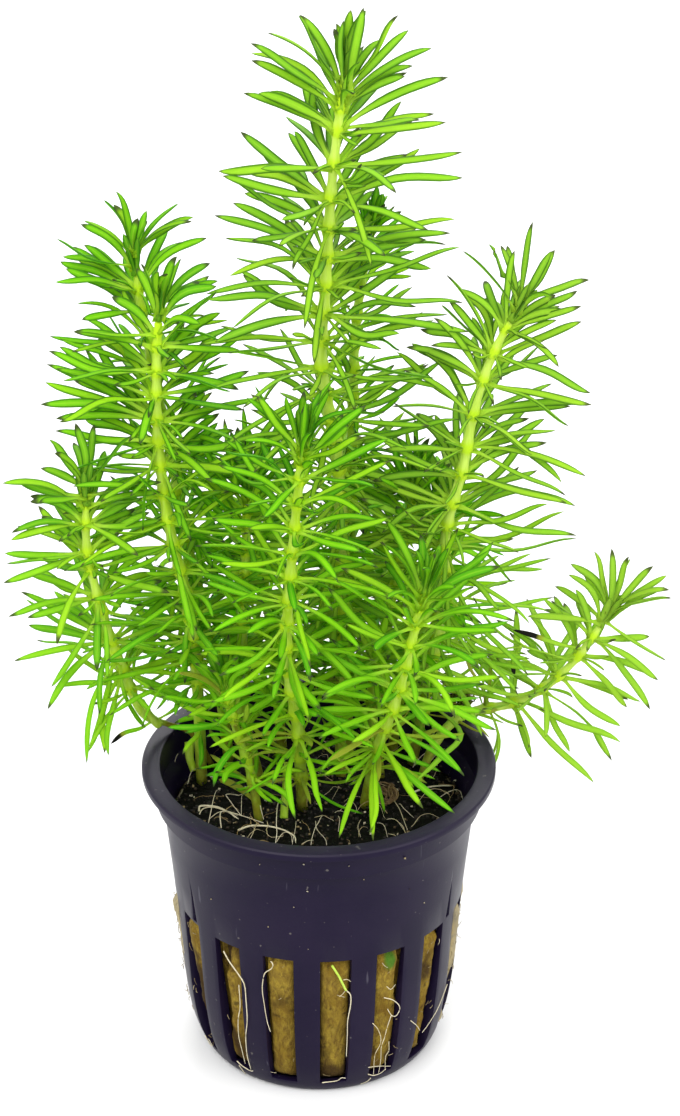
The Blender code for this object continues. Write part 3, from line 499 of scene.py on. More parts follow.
# Studio, in metres and watts: each light's place, size and power
LIGHTS = {
    "key": ((-0.35, -0.6, 0.9), 0.7, 8.0),
    "fill": ((0.7, -0.45, 0.6), 0.7, 6.0),
    "back": ((0.1, 0.8, 0.7), 0.7, 7.0),
    "front": ((-0.05, -1.1, 0.55), 0.8, 2.5),
}
LIT_POINT = (0, 0, 0.07)
WORLD_STRENGTH = 1.5
FLOOR_REACH = 3.0


# Small helpers

def around(radius, angle, height):
    """Point at an angle in degrees from the front, turning towards +X."""
    turn = math.radians(angle)
    return np.array((radius * math.sin(turn), -radius * math.cos(turn), height))


def unit(vectors):
    return vectors / np.linalg.norm(vectors, axis=-1, keepdims=True)


def smooth(value, low, high):
    """Smooth step from 0 at low to 1 at high."""
    share = np.clip((value - low) / (high - low), 0, 1)
    return share * share * (3 - 2 * share)


def spline(points, steps):
    """Samples of a smooth curve through points, with so many steps from each point to the next."""
    ends = [np.array(point, float) for point in points]
    ends = [2 * ends[0] - ends[1]] + ends + [2 * ends[-1] - ends[-2]]
    samples = []
    for before, start, end, after in zip(ends, ends[1:], ends[2:], ends[3:]):
        for step in range(steps):
            share = step / steps
            samples.append(0.5 * (2 * start + (end - before) * share
                                  + (2 * before - 5 * start + 4 * end - after) * share ** 2
                                  + (3 * start - before - 3 * end + after) * share ** 3))
    return np.array(samples + [ends[-2]])


def along_profile(profile, height):
    """Radius of a (radius, height) profile at a height or an array of heights."""
    rows = sorted((level, radius) for radius, level in profile)
    return np.interp(height, [row[0] for row in rows], [row[1] for row in rows])


def add_object(name, data):
    made = bpy.data.objects.new(name, data)
    bpy.context.scene.collection.objects.link(made)
    return made


class Build:
    """Collects one piece's points, faces, face materials and point attributes."""

    def __init__(self):
        self.points = []
        self.faces = []
        self.slots = []
        self.values = {}
        self.count = 0

    def add(self, points, faces, slot=0, **values):
        points = np.asarray(points, float).reshape(-1, 3)
        start = self.count
        self.points.append(points)
        self.faces += [tuple(start + index for index in face) for face in faces]
        self.slots += [slot] * len(faces)
        for name in {**self.values, **values}:
            column = self.values.setdefault(name, [np.zeros(start)] if start else [])
            column.append(np.broadcast_to(values.get(name, 0.0), (len(points),)).astype(float))
        self.count += len(points)

    def add_rings(self, rings, slot=0, **values):
        """A closed skin over rings of equal size, capped at both ends."""
        rings = np.asarray(rings, float)
        rows, sides, _three = rings.shape
        faces = []
        for row in range(rows - 1):
            low, high = row * sides, (row + 1) * sides
            for side in range(sides):
                beside = (side + 1) % sides
                faces.append((low + side, low + beside, high + beside, high + side))
        faces.append(tuple(range(sides))[::-1])
        faces.append(tuple(range((rows - 1) * sides, rows * sides)))
        spread = {}
        for name, value in values.items():
            value = np.asarray(value, float)
            if value.shape == (rows,):
                value = np.repeat(value, sides)
            elif value.shape == (rows, sides):
                value = value.reshape(-1)
            spread[name] = value
        self.add(rings.reshape(-1, 3), faces, slot, **spread)

    def finish(self, name, *looks):
        """Make the piece, with the materials named in the order of its slots."""
        mesh = bpy.data.meshes.new(name)
        mesh.from_pydata((np.concatenate(self.points) * MM).tolist(), [], self.faces)
        for key, columns in self.values.items():
            made = mesh.attributes.new(key, "FLOAT", "POINT")
            made.data.foreach_set("value", np.concatenate(columns).astype(np.float32))
        for look in looks:
            mesh.materials.append(MATERIALS[look])
        mesh.polygons.foreach_set("material_index", self.slots)
        mesh.update()
        mesh.shade_smooth()
        return add_object(name, mesh)


def settle(piece, slot, *nodes):
    """Every piece rides on the one body, and stands for the CAD nodes named."""
    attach(piece, "root")
    if nodes:
        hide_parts(*nodes)


class Route:
    """A smooth curve through given points, read by the distance along it."""

    def __init__(self, points):
        self.samples = spline(points, ROUTE_STEPS)
        gaps = np.linalg.norm(np.diff(self.samples, axis=0), axis=1)
        self.reach = np.concatenate([[0], np.cumsum(gaps)])
        self.length = self.reach[-1]

    def at(self, distance):
        return np.stack([np.interp(distance, self.reach, self.samples[:, axis]) for axis in range(3)], -1)

    def walk(self, count):
        """Shares of the way along, and the points there."""
        share = np.linspace(0, 1, count)
        return share, self.at(share * self.length)

    def distance_at(self, height):
        """Distance along a route that only climbs, where it reaches a height."""
        return float(np.interp(height, self.samples[:, 2], self.reach))

    def frame(self, distance):
        """Place on the route, the way it runs, and two level-ish directions across it."""
        here = self.at(distance)
        span = 2 * FRAME_REACH
        low = np.minimum(np.maximum(distance - FRAME_REACH, 0), self.length - span)
        along = unit(self.at(low + span) - self.at(low))
        side = np.array((1.0, 0, 0)) - along[..., :1] * along
        side = unit(side)
        return here, along, side, np.cross(along, side)


def circles(points, radii, side, across, sides):
    """A ring round each point, in the plane of two directions.

    Each point has a row of radii, with one radius for the whole ring or one for each side.
    """
    turns = np.arange(sides) * 2 * math.pi / sides
    return points[:, None] + radii[:, :, None] * (np.cos(turns)[None, :, None] * side[:, None]
                                                  + np.sin(turns)[None, :, None] * across[:, None])


def tube(build, points, radii, sides, slot=0, **values):
    """A round closed tube along points."""
    points = np.asarray(points, float)
    ways = unit(np.gradient(points, axis=0))
    side = np.cross(ways, UP)
    weak = np.linalg.norm(side, axis=1) < 0.2
    side[weak] = np.cross(ways[weak], (1.0, 0, 0))
    side = unit(side)
    across = np.cross(ways, side)
    radii = np.broadcast_to(radii, (len(points),))[:, None]
    build.add_rings(circles(points, radii, side, -across, sides), slot, **values)


# Materials

class Shade:
    """A material's node tree, written with short calls. An input is a number, a colour or a socket."""

    def __init__(self, name):
        self.material = bpy.data.materials.new(name)
        self.material.use_nodes = True
        self.tree = self.material.node_tree
        self.tree.nodes.clear()
        self.place = self.node("ShaderNodeTexCoord").outputs["Object"]

    def node(self, kind, settings=None, **inputs):
        made = self.tree.nodes.new(kind)
        for key, value in (settings or {}).items():
            setattr(made, key, value)
        for key, value in inputs.items():
            self.put(made.inputs[key.replace("_", " ")], value)
        return made

    def put(self, socket, value):
        if isinstance(value, bpy.types.NodeSocket):
            self.tree.links.new(value, socket)
        elif isinstance(value, tuple) and len(value) == 3 and socket.type == "RGBA":
            socket.default_value = (*value, 1)
        else:
            socket.default_value = value

    def attribute(self, name):
        return self.node("ShaderNodeAttribute", {"attribute_name": name}).outputs["Fac"]

    def math(self, operation, first, second=0.0):
        made = self.node("ShaderNodeMath", {"operation": operation})
        self.put(made.inputs[0], first)
        self.put(made.inputs[1], second)
        return made.outputs[0]

    def times(self, first, second):
        return self.math("MULTIPLY", first, second)

    def plus(self, first, second):
        return self.math("ADD", first, second)

    def step(self, value, low, high, start=0.0, end=1.0):
        """Smooth step of a value from start at low to end at high."""
        made = self.node("ShaderNodeMapRange", {"interpolation_type": "SMOOTHSTEP"})
        for index, number in enumerate((value, low, high, start, end)):
            self.put(made.inputs[index], number)
        return made.outputs[0]

    def mix(self, factor, first, second):
        made = self.node("ShaderNodeMix", {"data_type": "RGBA"})
        self.put(made.inputs[0], factor)
        self.put(made.inputs[6], first)
        self.put(made.inputs[7], second)
        return made.outputs[2]

    def ramp(self, value, stops):
        made = self.node("ShaderNodeValToRGB")
        steps = made.color_ramp.elements
        while len(steps) < len(stops):
            steps.new(0.5)
        for step, (place, colour) in zip(steps, stops):
            step.position = place
            step.color = (*colour, 1)
        self.put(made.inputs[0], value)
        return made.outputs[0]

    def noise(self, scale, detail, roughness, where=None, distortion=0.0):
        """Noise whose lumps are about 1 / scale millimetres, or units of where."""
        if where is None:
            where, scale = self.place, scale / MM
        made = self.node("ShaderNodeTexNoise", Vector=where, Scale=scale, Detail=detail,
                         Roughness=roughness, Distortion=distortion)
        return made.outputs["Fac"]

    def stretched(self, factors, where=None):
        """The place with its axes scaled, for drawn-out patterns."""
        made = self.node("ShaderNodeVectorMath", {"operation": "MULTIPLY"})
        self.put(made.inputs[0], self.place if where is None else where)
        made.inputs[1].default_value = factors
        return made.outputs[0]

    def height(self):
        """Height above the pot's base in metres."""
        return self.node("ShaderNodeSeparateXYZ", Vector=self.place).outputs["Z"]

    def bump(self, height, depth, strength):
        """Depth is in millimetres."""
        made = self.node("ShaderNodeBump", Height=height, Strength=strength, Distance=depth * MM)
        return made.outputs["Normal"]

    def principled(self, colour, roughness, normal, specular):
        made = self.node("ShaderNodeBsdfPrincipled", Base_Color=colour, Roughness=roughness)
        made.inputs["Specular IOR Level"].default_value = specular
        if normal is not None:
            self.put(made.inputs["Normal"], normal)
        return made.outputs[0]

    def translucent(self, surface, colour, share, normal=None):
        """The surface mixed with light that comes through it from behind."""
        through = self.node("ShaderNodeBsdfTranslucent", Color=colour)
        if normal is not None:
            self.put(through.inputs["Normal"], normal)
        made = self.node("ShaderNodeMixShader")
        self.put(made.inputs[0], share)
        self.put(made.inputs[1], surface)
        self.put(made.inputs[2], through.outputs[0])
        return made.outputs[0]

    def done(self, surface):
        self.node("ShaderNodeOutputMaterial", Surface=surface)
        return self.material


def leaf_material():
    """Translucent green blade: lime at its foot, dark along its margins and nearly black at its tip.

    The attributes edge and tip are the distances to the margin and to the tip in millimetres.
    """
    shade = Shade("leaf")
    along, across, edge, tip = [shade.attribute(name) for name in ("along", "across", "edge", "tip")]
    tint, youth, dry, pale = [shade.attribute(name) for name in ("tint", "youth", "dry", "pale")]
    off_rib = shade.math("ABSOLUTE", across)
    where = shade.node("ShaderNodeCombineXYZ", X=shade.times(along, 3.0), Y=shade.times(across, 4.0),
                       Z=shade.times(tint, 40.0)).outputs[0]
    blotch = shade.noise(1.6, 3.0, 0.6, where)
    veins = shade.noise(3.0, 2.0, 0.5, shade.stretched((0.4, 3.0, 1.0), where))
    blade = shade.ramp(along, [(0.0, (0.44, 0.68, 0.010)), (0.17, (0.52, 0.76, 0.07)),
                               (0.38, (0.25, 0.63, 0.007)), (1.0, (0.175, 0.55, 0.006))])
    fresh = shade.mix(shade.step(tint, 0.66, 1.0), blade, (0.40, 0.70, 0.015))
    clumps = shade.step(shade.noise(0.07, 2.0, 0.5), 0.5, 0.68, 0.0, 0.25)
    shaded = shade.times(shade.math("MAXIMUM", shade.step(tint, 0.36, 0.0), clumps),
                         shade.step(along, 0.1, 0.4))
    deep = shade.mix(shaded, fresh, (0.080, 0.42, 0.006))
    young = shade.mix(shade.step(youth, 0.0, BUD_YOUTH, 0.0, 0.85), deep, (0.05, 0.25, 0.010))
    patchy = shade.mix(shade.step(blotch, 0.35, 0.8, 0.0, 0.3), young, (0.29, 0.54, 0.010))
    washed = shade.mix(shade.times(pale, 0.75), patchy, (0.33, 0.53, 0.045))
    ribbed = shade.mix(shade.step(off_rib, 0.30, 0.02, 0.0, 0.35), washed, (0.42, 0.66, 0.04))
    outlined = shade.times(shade.step(along, 0.08, 0.25),
                           shade.step(shade.height(), 50 * MM, 110 * MM, 0.25, 0.85))
    rim = shade.times(shade.step(off_rib, 0.44, 0.78), outlined)
    uneven_tip = shade.plus(tip, shade.times(blotch, 0.6))
    dark_tip = shade.times(shade.step(youth, 1.0, BUD_YOUTH, 1.0, 0.15),
                           shade.step(uneven_tip, 1.7, 0.8, 0.0, 0.85))
    olive = shade.step(dry, 0.0, 0.6)
    black = shade.step(dry, 0.6, 1.0)

    def finished(body, margin_colour, tip_colour):
        """The blade with its margins, tip and dry parts over it."""
        framed = shade.mix(rim, body, margin_colour)
        tipped = shade.mix(dark_tip, framed, tip_colour)
        return shade.mix(black, shade.mix(olive, tipped, (0.33, 0.37, 0.035)), (0.010, 0.010, 0.006))

    margin = shade.mix(pale, (0.045, 0.19, 0.006), (0.052, 0.130, 0.011))
    surface_colour = finished(ribbed, margin, (0.048, 0.048, 0.028))
    lit = shade.mix(shade.times(pale, 0.75), (0.48, 0.88, 0.010), (0.38, 0.64, 0.04))
    glow = finished(shade.mix(0.35, ribbed, lit), (0.09, 0.25, 0.012), (0.07, 0.07, 0.04))
    height = shade.plus(shade.step(edge, 0.0, 0.25, 0.0, 0.5), shade.times(veins, 0.25))
    normal = shade.bump(height, 0.08, 0.7)
    surface = shade.principled(surface_colour, shade.step(veins, 0.2, 0.8, 0.42, 0.6), normal, 0.08)
    return shade.done(shade.translucent(surface, glow, 0.5, normal))


def stem_material():
    """Pale lime stem, yellower at its nodes and olive brown at its foot."""
    shade = Shade("stem")
    node = shade.attribute("node")
    foot = shade.attribute("foot")
    grain = shade.noise(0.9, 4.0, 0.6)
    ribs = shade.noise(1.2, 3.0, 0.6, shade.stretched((1 / MM, 1 / MM, 0.1 / MM)))
    body = shade.mix(shade.step(ribs, 0.3, 0.7), (0.36, 0.56, 0.02), (0.48, 0.67, 0.09))
    washed = shade.mix(shade.times(shade.attribute("pale"), 0.4), body, (0.60, 0.74, 0.17))
    nodes = shade.mix(shade.step(node, 0.1, 0.85, 0.0, 0.9), washed, (0.44, 0.67, 0.010))
    old = shade.mix(shade.step(foot, 0.15, 0.75, 0.0, 0.55), nodes, (0.26, 0.44, 0.022))
    withered = shade.step(shade.plus(foot, shade.times(grain, 0.25)), 0.95, 1.2, 0.0, 0.85)
    brown = shade.mix(withered, old, (0.17, 0.12, 0.012))
    normal = shade.bump(ribs, 0.12, 0.6)
    surface = shade.principled(brown, 0.42, normal, 0.08)
    return shade.done(shade.translucent(surface, brown, 0.3, normal))


def plastic_material():
    """Dark aubergine moulded plastic with dust, fine drawn scratches, and painted light that makes the lip's
    top a little paler.
    """
    shade = Shade("pot_plastic")
    cloud = shade.noise(0.06, 3.0, 0.6)
    grain = shade.noise(2.4, 3.0, 0.6)
    specks = shade.noise(1.3, 1.0, 0.3)
    scratch = shade.noise(0.9, 2.0, 0.4, shade.stretched((1 / MM, 1 / MM, 0.12 / MM)))
    colour = shade.mix(shade.step(cloud, 0.35, 0.7), (0.0058, 0.0036, 0.0150), (0.0084, 0.0054, 0.0184))
    dusty = shade.mix(shade.step(specks, 0.76, 0.80, 0.0, 0.55), colour, (0.12, 0.11, 0.10))
    marked = shade.mix(shade.step(scratch, 0.73, 0.78, 0.0, 0.35), dusty, (0.10, 0.095, 0.12))
    # Painted light: the lip's top face and its rounded edge are drawn a little paler.
    worn = shade.mix(shade.step(shade.height(), 49.2 * MM, 49.55 * MM, 0.0, 0.25), marked,
                     (0.036, 0.032, 0.040))
    roughness = shade.step(cloud, 0.3, 0.75, 0.30, 0.40)
    normal = shade.bump(grain, 0.02, 0.5)
    return shade.done(shade.principled(worn, roughness, normal, 0.085))


def wool_material():
    """Golden-brown mineral wool: drawn fibres, brown stains, painted shade in the hollows behind the slots,
    painted light at the pot's two sides, green algae, and a wet top that is near-black, partly its own colour
    and partly painted shade.
    """
    shade = Shade("wool")
    top, stain, algae, dry = [shade.attribute(name) for name in ("top", "stain", "algae", "dry")]
    fibres = shade.noise(1.1, 5.0, 0.65, shade.stretched((1.4 / MM, 1.4 / MM, 0.55 / MM)), 0.8)
    fine = shade.noise(2.6, 4.0, 0.7)
    lumps = shade.noise(0.22, 4.0, 0.6)
    gold = shade.ramp(fibres, [(0.25, (0.075, 0.042, 0.007)), (0.45, (0.155, 0.100, 0.017)),
                               (0.60, (0.225, 0.155, 0.020)), (0.78, (0.30, 0.22, 0.035))])
    tone = shade.mix(shade.step(lumps, 0.42, 0.66, 0.0, 0.6), gold, (0.105, 0.058, 0.005))
    pale = shade.mix(shade.step(fine, 0.58, 0.75, 0.0, 0.25), tone, (0.32, 0.24, 0.04))
    # Stains, and painted shade where the wool lies deep in its hollows behind the slots.
    stained = shade.mix(stain, pale, (0.022, 0.011, 0.005))
    # Painted light: paler beige at the pot's two sides as seen from the front, carried by the mark dry.
    painted_side_light = shade.mix(shade.times(dry, 0.55), stained, (0.42, 0.38, 0.26))
    green = shade.mix(algae, painted_side_light, (0.030, 0.115, 0.010))
    # The near-black top: partly its own dark colour and partly painted shade.
    soil_and_shade = shade.ramp(fine, [(0.35, (0.0008, 0.0010, 0.0004)), (0.58, (0.003, 0.0035, 0.0012)),
                             (0.76, (0.022, 0.020, 0.007))])
    colour = shade.mix(top, green, soil_and_shade)
    normal = shade.bump(shade.plus(fibres, shade.times(fine, 0.6)), 0.5, 0.8)
    roughness = shade.step(top, 0.0, 1.0, 0.92, 0.75)
    return shade.done(shade.principled(colour, roughness, normal, 0.08))


def root_material():
    """Cream root, white at its growing tip and stained towards its foot."""
    shade = Shade("root")
    along = shade.attribute("along")
    tint = shade.attribute("tint")
    grain = shade.noise(1.5, 3.0, 0.6)
    colour = shade.ramp(tint, [(0.0, (0.62, 0.57, 0.41)), (0.45, (0.46, 0.38, 0.20)),
                               (0.7, (0.34, 0.24, 0.09)), (1.0, (0.10, 0.055, 0.018))])
    stained = shade.mix(shade.step(grain, 0.45, 0.75, 0.0, 0.4), colour, (0.40, 0.30, 0.12))
    light = shade.mix(shade.step(along, 0.6, 1.0, 0.0, 0.4), stained, (0.72, 0.68, 0.52))
    final = shade.mix(shade.step(tint, 0.5, 0.7), light, stained)
    normal = shade.bump(grain, 0.08, 0.5)
    surface = shade.principled(final, 0.5, normal, 0.4)
    return shade.done(shade.translucent(surface, final, 0.2, normal))


def moss_material():
    """Moss strands, from nearly black to straw by their tint."""
    shade = Shade("moss")
    tint = shade.attribute("tint")
    colour = shade.ramp(tint, [(0.0, (0.035, 0.045, 0.006)), (0.4, (0.16, 0.20, 0.012)),
                               (0.75, (0.34, 0.36, 0.03)), (1.0, (0.46, 0.40, 0.07))])
    grain = shade.noise(1.8, 3.0, 0.6)
    final = shade.mix(shade.step(grain, 0.4, 0.7, 0.0, 0.5), colour, (0.07, 0.09, 0.01))
    surface = shade.principled(final, 0.6, shade.bump(grain, 0.06, 0.5), 0.3)
    return shade.done(shade.translucent(surface, final, 0.25))


def crumb_material():
    """Dry crumbs, dust and bits of dead leaf, from black to straw by their tint."""
    shade = Shade("crumb")
    tint = shade.attribute("tint")
    grain = shade.noise(3.0, 3.0, 0.6)
    colour = shade.ramp(tint, [(0.0, (0.006, 0.005, 0.003)), (0.35, (0.050, 0.030, 0.010)),
                               (0.65, (0.26, 0.20, 0.09)), (1.0, (0.62, 0.58, 0.44))])
    final = shade.mix(shade.step(grain, 0.4, 0.7, 0.0, 0.35), colour, (0.03, 0.02, 0.01))
    return shade.done(shade.principled(final, 0.75, shade.bump(grain, 0.05, 0.5), 0.3))


def floor_material():
    """Matt pale grey, nearly even."""
    shade = Shade("floor")
    cloud = shade.noise(0.01, 2.0, 0.5)
    colour = shade.mix(cloud, (0.60, 0.60, 0.60), (0.62, 0.62, 0.62))
    return shade.done(shade.principled(colour, 0.7, None, 0.15))


# Net pot

def build_net_pot():
    """The pot as a lattice of rings and columns with its slots and floor openings left out."""
    outside = LIP_OUTSIDE + spline(WALL_OUTSIDE, PROFILE_STEPS).tolist() + FLOOR_OUTSIDE
    inside = FLOOR_INSIDE + spline(WALL_INSIDE, PROFILE_STEPS).tolist() + LIP_INSIDE
    rings = outside + inside
    hole_out, hub_out, hub_in, hole_in = range(len(outside) - 2, len(outside) + 2)

    rib = SLOT_STEP - 2 * SLOT_HALF_ANGLE
    columns = []
    for slot in range(SLOT_COUNT):
        start = SLOT_PHASE + slot * SLOT_STEP - SLOT_HALF_ANGLE
        for part in range(COLUMNS_PER_SLOT):
            columns.append(start + 2 * SLOT_HALF_ANGLE * part / COLUMNS_PER_SLOT)
        for part in range(COLUMNS_PER_SLOT):
            columns.append(start + 2 * SLOT_HALF_ANGLE + rib * part / COLUMNS_PER_SLOT)
    count = len(columns)
    period = 2 * COLUMNS_PER_SLOT

    def row_of(height, rows):
        return min(rows, key=lambda row: abs(rings[row][1] - height))

    rows_out = range(len(LIP_OUTSIDE) - 1, hole_out)
    rows_in = range(hole_in + 1, len(rings))
    top_out, sill_out = row_of(SLOT_TOP, rows_out), row_of(SLOT_BOTTOM, rows_out)
    top_in, sill_in = row_of(SLOT_TOP, rows_in), row_of(SLOT_BOTTOM, rows_in)

    def is_open(row, column):
        if top_out <= row < sill_out or sill_in <= row < top_in:
            return column % period < COLUMNS_PER_SLOT
        if row in (hole_out, hub_in):
            return column % (2 * period) < 2 * period - 2
        return False

    def vertex(row, column):
        return row * count + column % count

    def bridge(first, second, column):
        """A face from one row to another, between a column and the next."""
        return (vertex(first, column), vertex(second, column), vertex(second, column + 1),
                vertex(first, column + 1))

    faces = []
    for row in range(len(rings)):
        if row == hub_out:
            continue
        faces += [bridge(row, (row + 1) % len(rings), column) for column in range(count)
                  if not is_open(row, column)]
    faces.append(tuple(vertex(hub_out, column) for column in range(count)))
    faces.append(tuple(vertex(hub_in, column) for column in range(count))[::-1])
    for slot in range(SLOT_COUNT):
        left = slot * period
        right = left + COLUMNS_PER_SLOT
        for edge, turned in ((left, True), (right, False)):
            loop = [vertex(row, edge) for row in range(top_out, sill_out + 1)]
            loop += [vertex(row, edge) for row in range(sill_in, top_in + 1)]
            faces.append(tuple(loop[::-1] if turned else loop))
        for column in range(left, right):
            faces += [bridge(top_in, top_out, column), bridge(sill_in, sill_out, column)]
    for column in range(count):
        if not is_open(hole_out, column):
            continue
        faces += [bridge(hole_out, hole_in, column), bridge(hub_in, hub_out, column)]
        for edge, neighbour in ((column, column - 1), (column + 1, column + 1)):
            if not is_open(hole_out, neighbour % count):
                side = tuple(vertex(row, edge) for row in (hole_out, hub_out, hub_in, hole_in))
                faces.append(side if edge == column else side[::-1])

    points = [around(radius, angle, height) for radius, height in rings for angle in columns]
    build = Build()
    build.add(points, faces)
    pot = build.finish("pot", "plastic")
    clean_mesh(pot)
    cutters = [add_notch_cutter(pot, angle) for angle in NOTCH_ANGLES]
    bevel = pot.modifiers.new("rounded_edges", "BEVEL")
    bevel.width = EDGE_ROUNDING * MM
    bevel.segments = 2
    bevel.limit_method = "ANGLE"
    bevel.angle_limit = math.radians(ROUNDED_OVER)
    bake_modifiers(pot)
    for cutter in cutters:
        bpy.data.objects.remove(cutter, do_unlink=True)
    pot.data.shade_smooth()
    pot.data.set_sharp_from_angle(angle=math.radians(SHARP_OVER))
    settle(pot, "dark_plastic", "net_pot")


def clean_mesh(piece):
    """Drop points that no face uses and turn the faces outward."""
    work = bmesh.new()
    work.from_mesh(piece.data)
    loose = [vert for vert in work.verts if not vert.link_faces]
    bmesh.ops.delete(work, geom=loose, context="VERTS")
    bmesh.ops.recalc_face_normals(work, faces=work.faces)
    work.to_mesh(piece.data)
    work.free()


def bake_modifiers(piece):
    """Keep what the modifiers make as the piece's own mesh."""
    bpy.context.view_layer.update()
    seen = piece.evaluated_get(bpy.context.evaluated_depsgraph_get())
    mesh = bpy.data.meshes.new_from_object(seen)
    piece.modifiers.clear()
    piece.data = mesh


def add_notch_cutter(pot, angle):
    """A stacking notch is a narrow dart in the wall that deepens downwards to a ledge."""
    top = along_profile(WALL_OUTSIDE, NOTCH_TOP)
    bottom = along_profile(WALL_OUTSIDE, NOTCH_BOTTOM)
    half = math.degrees(NOTCH_WIDTH / 2 / bottom)
    corners = [(top + CUTTER_PROUD, -0.4, NOTCH_TOP), (top + CUTTER_PROUD, 0.4, NOTCH_TOP),
               (bottom + CUTTER_PROUD, 1, NOTCH_BOTTOM), (bottom + CUTTER_PROUD, -1, NOTCH_BOTTOM),
               (top - 0.02, 0, NOTCH_TOP), (bottom - NOTCH_DEPTH, 0.5, NOTCH_BOTTOM),
               (bottom - NOTCH_DEPTH, -0.5, NOTCH_BOTTOM)]
    points = [around(radius, angle + half * share, height) for radius, share, height in corners]
    build = Build()
    build.add(points, [(0, 1, 2, 3), (0, 4, 1), (1, 4, 5, 2), (0, 3, 6, 4), (4, 6, 5), (3, 2, 5, 6)])
    cutter = build.finish("notch_cutter", "plastic")
    clean_mesh(cutter)
    cut = pot.modifiers.new("notch", "BOOLEAN")
    cut.operation = "DIFFERENCE"
    cut.solver = "EXACT"
    cut.object = cutter
    return cutter


# Rock wool

def lump(place, scale, octaves=3):
    """Fractal noise about 0, with lumps about 1 / scale millimetres."""
    return noise.fractal(Vector(place) * scale, 1.0, 2.0, octaves)


def slot_share(angle):
    """1 in the middle of a slot and 0 from its edges on, for an angle round the pot."""
    off = (angle - SLOT_PHASE + SLOT_STEP / 2) % SLOT_STEP - SLOT_STEP / 2
    return float(np.clip(1 - abs(off) / SLOT_HALF_ANGLE, 0, 1))


def off_middle(angle, height, middle, level, half_angle, half_height):
    """How far a place is from the middle of an oval on the pot's wall: 1 on its rim."""
    return math.hypot((angle - middle) / half_angle, (height - level) / half_height)


def hollow(angle, height):
    """How far inside a hollow a place is, from 0 to 1, and how deep the wool lies there."""
    turn = (angle + 180) % 360 - 180
    fallen, depth = 0.0, 0.0
    for *oval, deep in HOLLOWS:
        inside = float(smooth(off_middle(turn, height, *oval), 1.1, 0.7))
        fallen = max(fallen, inside)
        depth = max(depth, deep * inside)
    return fallen, depth


def side_ring(height):
    """One ring of the plug's side, with its points' stains and painted shade, algae, and painted light at the
    pot's two sides.
    """
    inner = float(along_profile(WALL_INSIDE, height)) - WOOL_GAP
    window = float(smooth(height, SLOT_BOTTOM - 1, SLOT_BOTTOM + 2)
                   * smooth(height, SLOT_TOP + 0.3, SLOT_TOP - 2.5))
    ring = []
    for column in range(WOOL_COLUMNS):
        angle = 360 * column / WOOL_COLUMNS
        share = slot_share(angle) ** 0.16 * window
        flat = around(inner, angle, height)
        rough = 0.30 * lump(flat * (1, 1, 0.5), 0.28) + 0.16 * lump(flat * (1, 1, 0.6), 1.3, 4)
        # Nearness to the pot's two sides as seen from the front: the wool bulges more there, and is drawn
        # paler there as painted light.
        side = float(smooth(abs(math.sin(math.radians(angle))), 0.88, 0.98))
        fallen, depth = hollow(angle, height)
        radius = (inner - WOOL_SETBACK + share * (SLOT_BULGE + side * SIDE_BULGE)
                  + rough * (0.35 + 0.55 * share))
        # Painted shade: inside the hollows the wool is drawn nearly as dark as its darkest stains.
        stain = max(wool_stain(angle, height, flat), 0.92 * fallen)
        ring.append((around(min(radius, WIDEST_WOOL) - depth, angle, height), stain,
                     wool_algae(angle, height), side))
    return list(zip(*ring))


def top_ring(share):
    """One ring of the lumpy top, at a share of its radius."""
    ring = []
    for column in range(WOOL_COLUMNS):
        place = around(share * TOP_EDGE, 360 * column / WOOL_COLUMNS, 0)
        height = WOOL_TOP - 0.5 + 0.8 * lump(place, 0.16) + 0.45 * lump(place, 0.6, 4)
        height -= 0.9 * float(smooth(share, 0.9, 1.0))
        place[2] = min(height, WOOL_TOP + 0.4)
        ring.append(place)
    return ring


def build_wool():
    """The plug bulges a little into the slots. Its top is lumpy, wet and nearly black, partly with painted
    shade.
    """
    reach = WOOL_TOP - WOOL_SHOULDER - WOOL_BOTTOM
    sides = [side_ring(WOOL_BOTTOM + reach * row / WOOL_ROWS) for row in range(WOOL_ROWS + 1)]
    tops = [top_ring(1 - (row / TOP_RINGS) ** 0.8) for row in range(TOP_RINGS)]
    rings = [ring for ring, _stain, _algae, _dry in sides] + tops
    clean = np.zeros((TOP_RINGS, WOOL_COLUMNS))
    # The side's marks: stains with painted shade, algae, and painted light at the pot's two sides (dry).
    stain, algae, dry = [np.concatenate([[side[mark] for side in sides], clean]) for mark in (1, 2, 3)]
    top = np.repeat((0.0, 1.0), (len(sides), TOP_RINGS))
    build = Build()
    build.add_rings(rings, top=top, stain=stain, algae=algae, dry=dry)
    settle(build.finish("wool", "wool"), "mineral_wool", "rock_wool")


def wool_stain(angle, height, flat):
    """Darker marks on the wool's side: stains wide in the slots at the left, streaks and specks elsewhere,
    and darker bands low down and from above the slots up to the top.
    """
    blotch = lump(flat * (1, 1, 0.6), 0.17)
    left = float(smooth(-angle % 360, 18, 40) * smooth(-angle % 360, 100, 70))
    dark = float(smooth(blotch + 0.25 * left, 0.28, 0.62))
    specks = float(smooth(lump(flat, 0.8, 2), 0.42, 0.62)) * 0.7
    # Darker towards the bottom, and from above the slots up towards the near-black top.
    low = float(smooth(height, 8, 2.5)) * 0.45
    high = float(smooth(height, 30, 41))
    return min(1.0, max(0.85 * dark, specks, low, high))


def wool_algae(angle, height):
    """A green patch at the top of one slot at the right of the front."""
    return float(smooth(off_middle(angle, height, *ALGAE_PATCH), 1.0, 0.55)) * 0.85


# Shoots

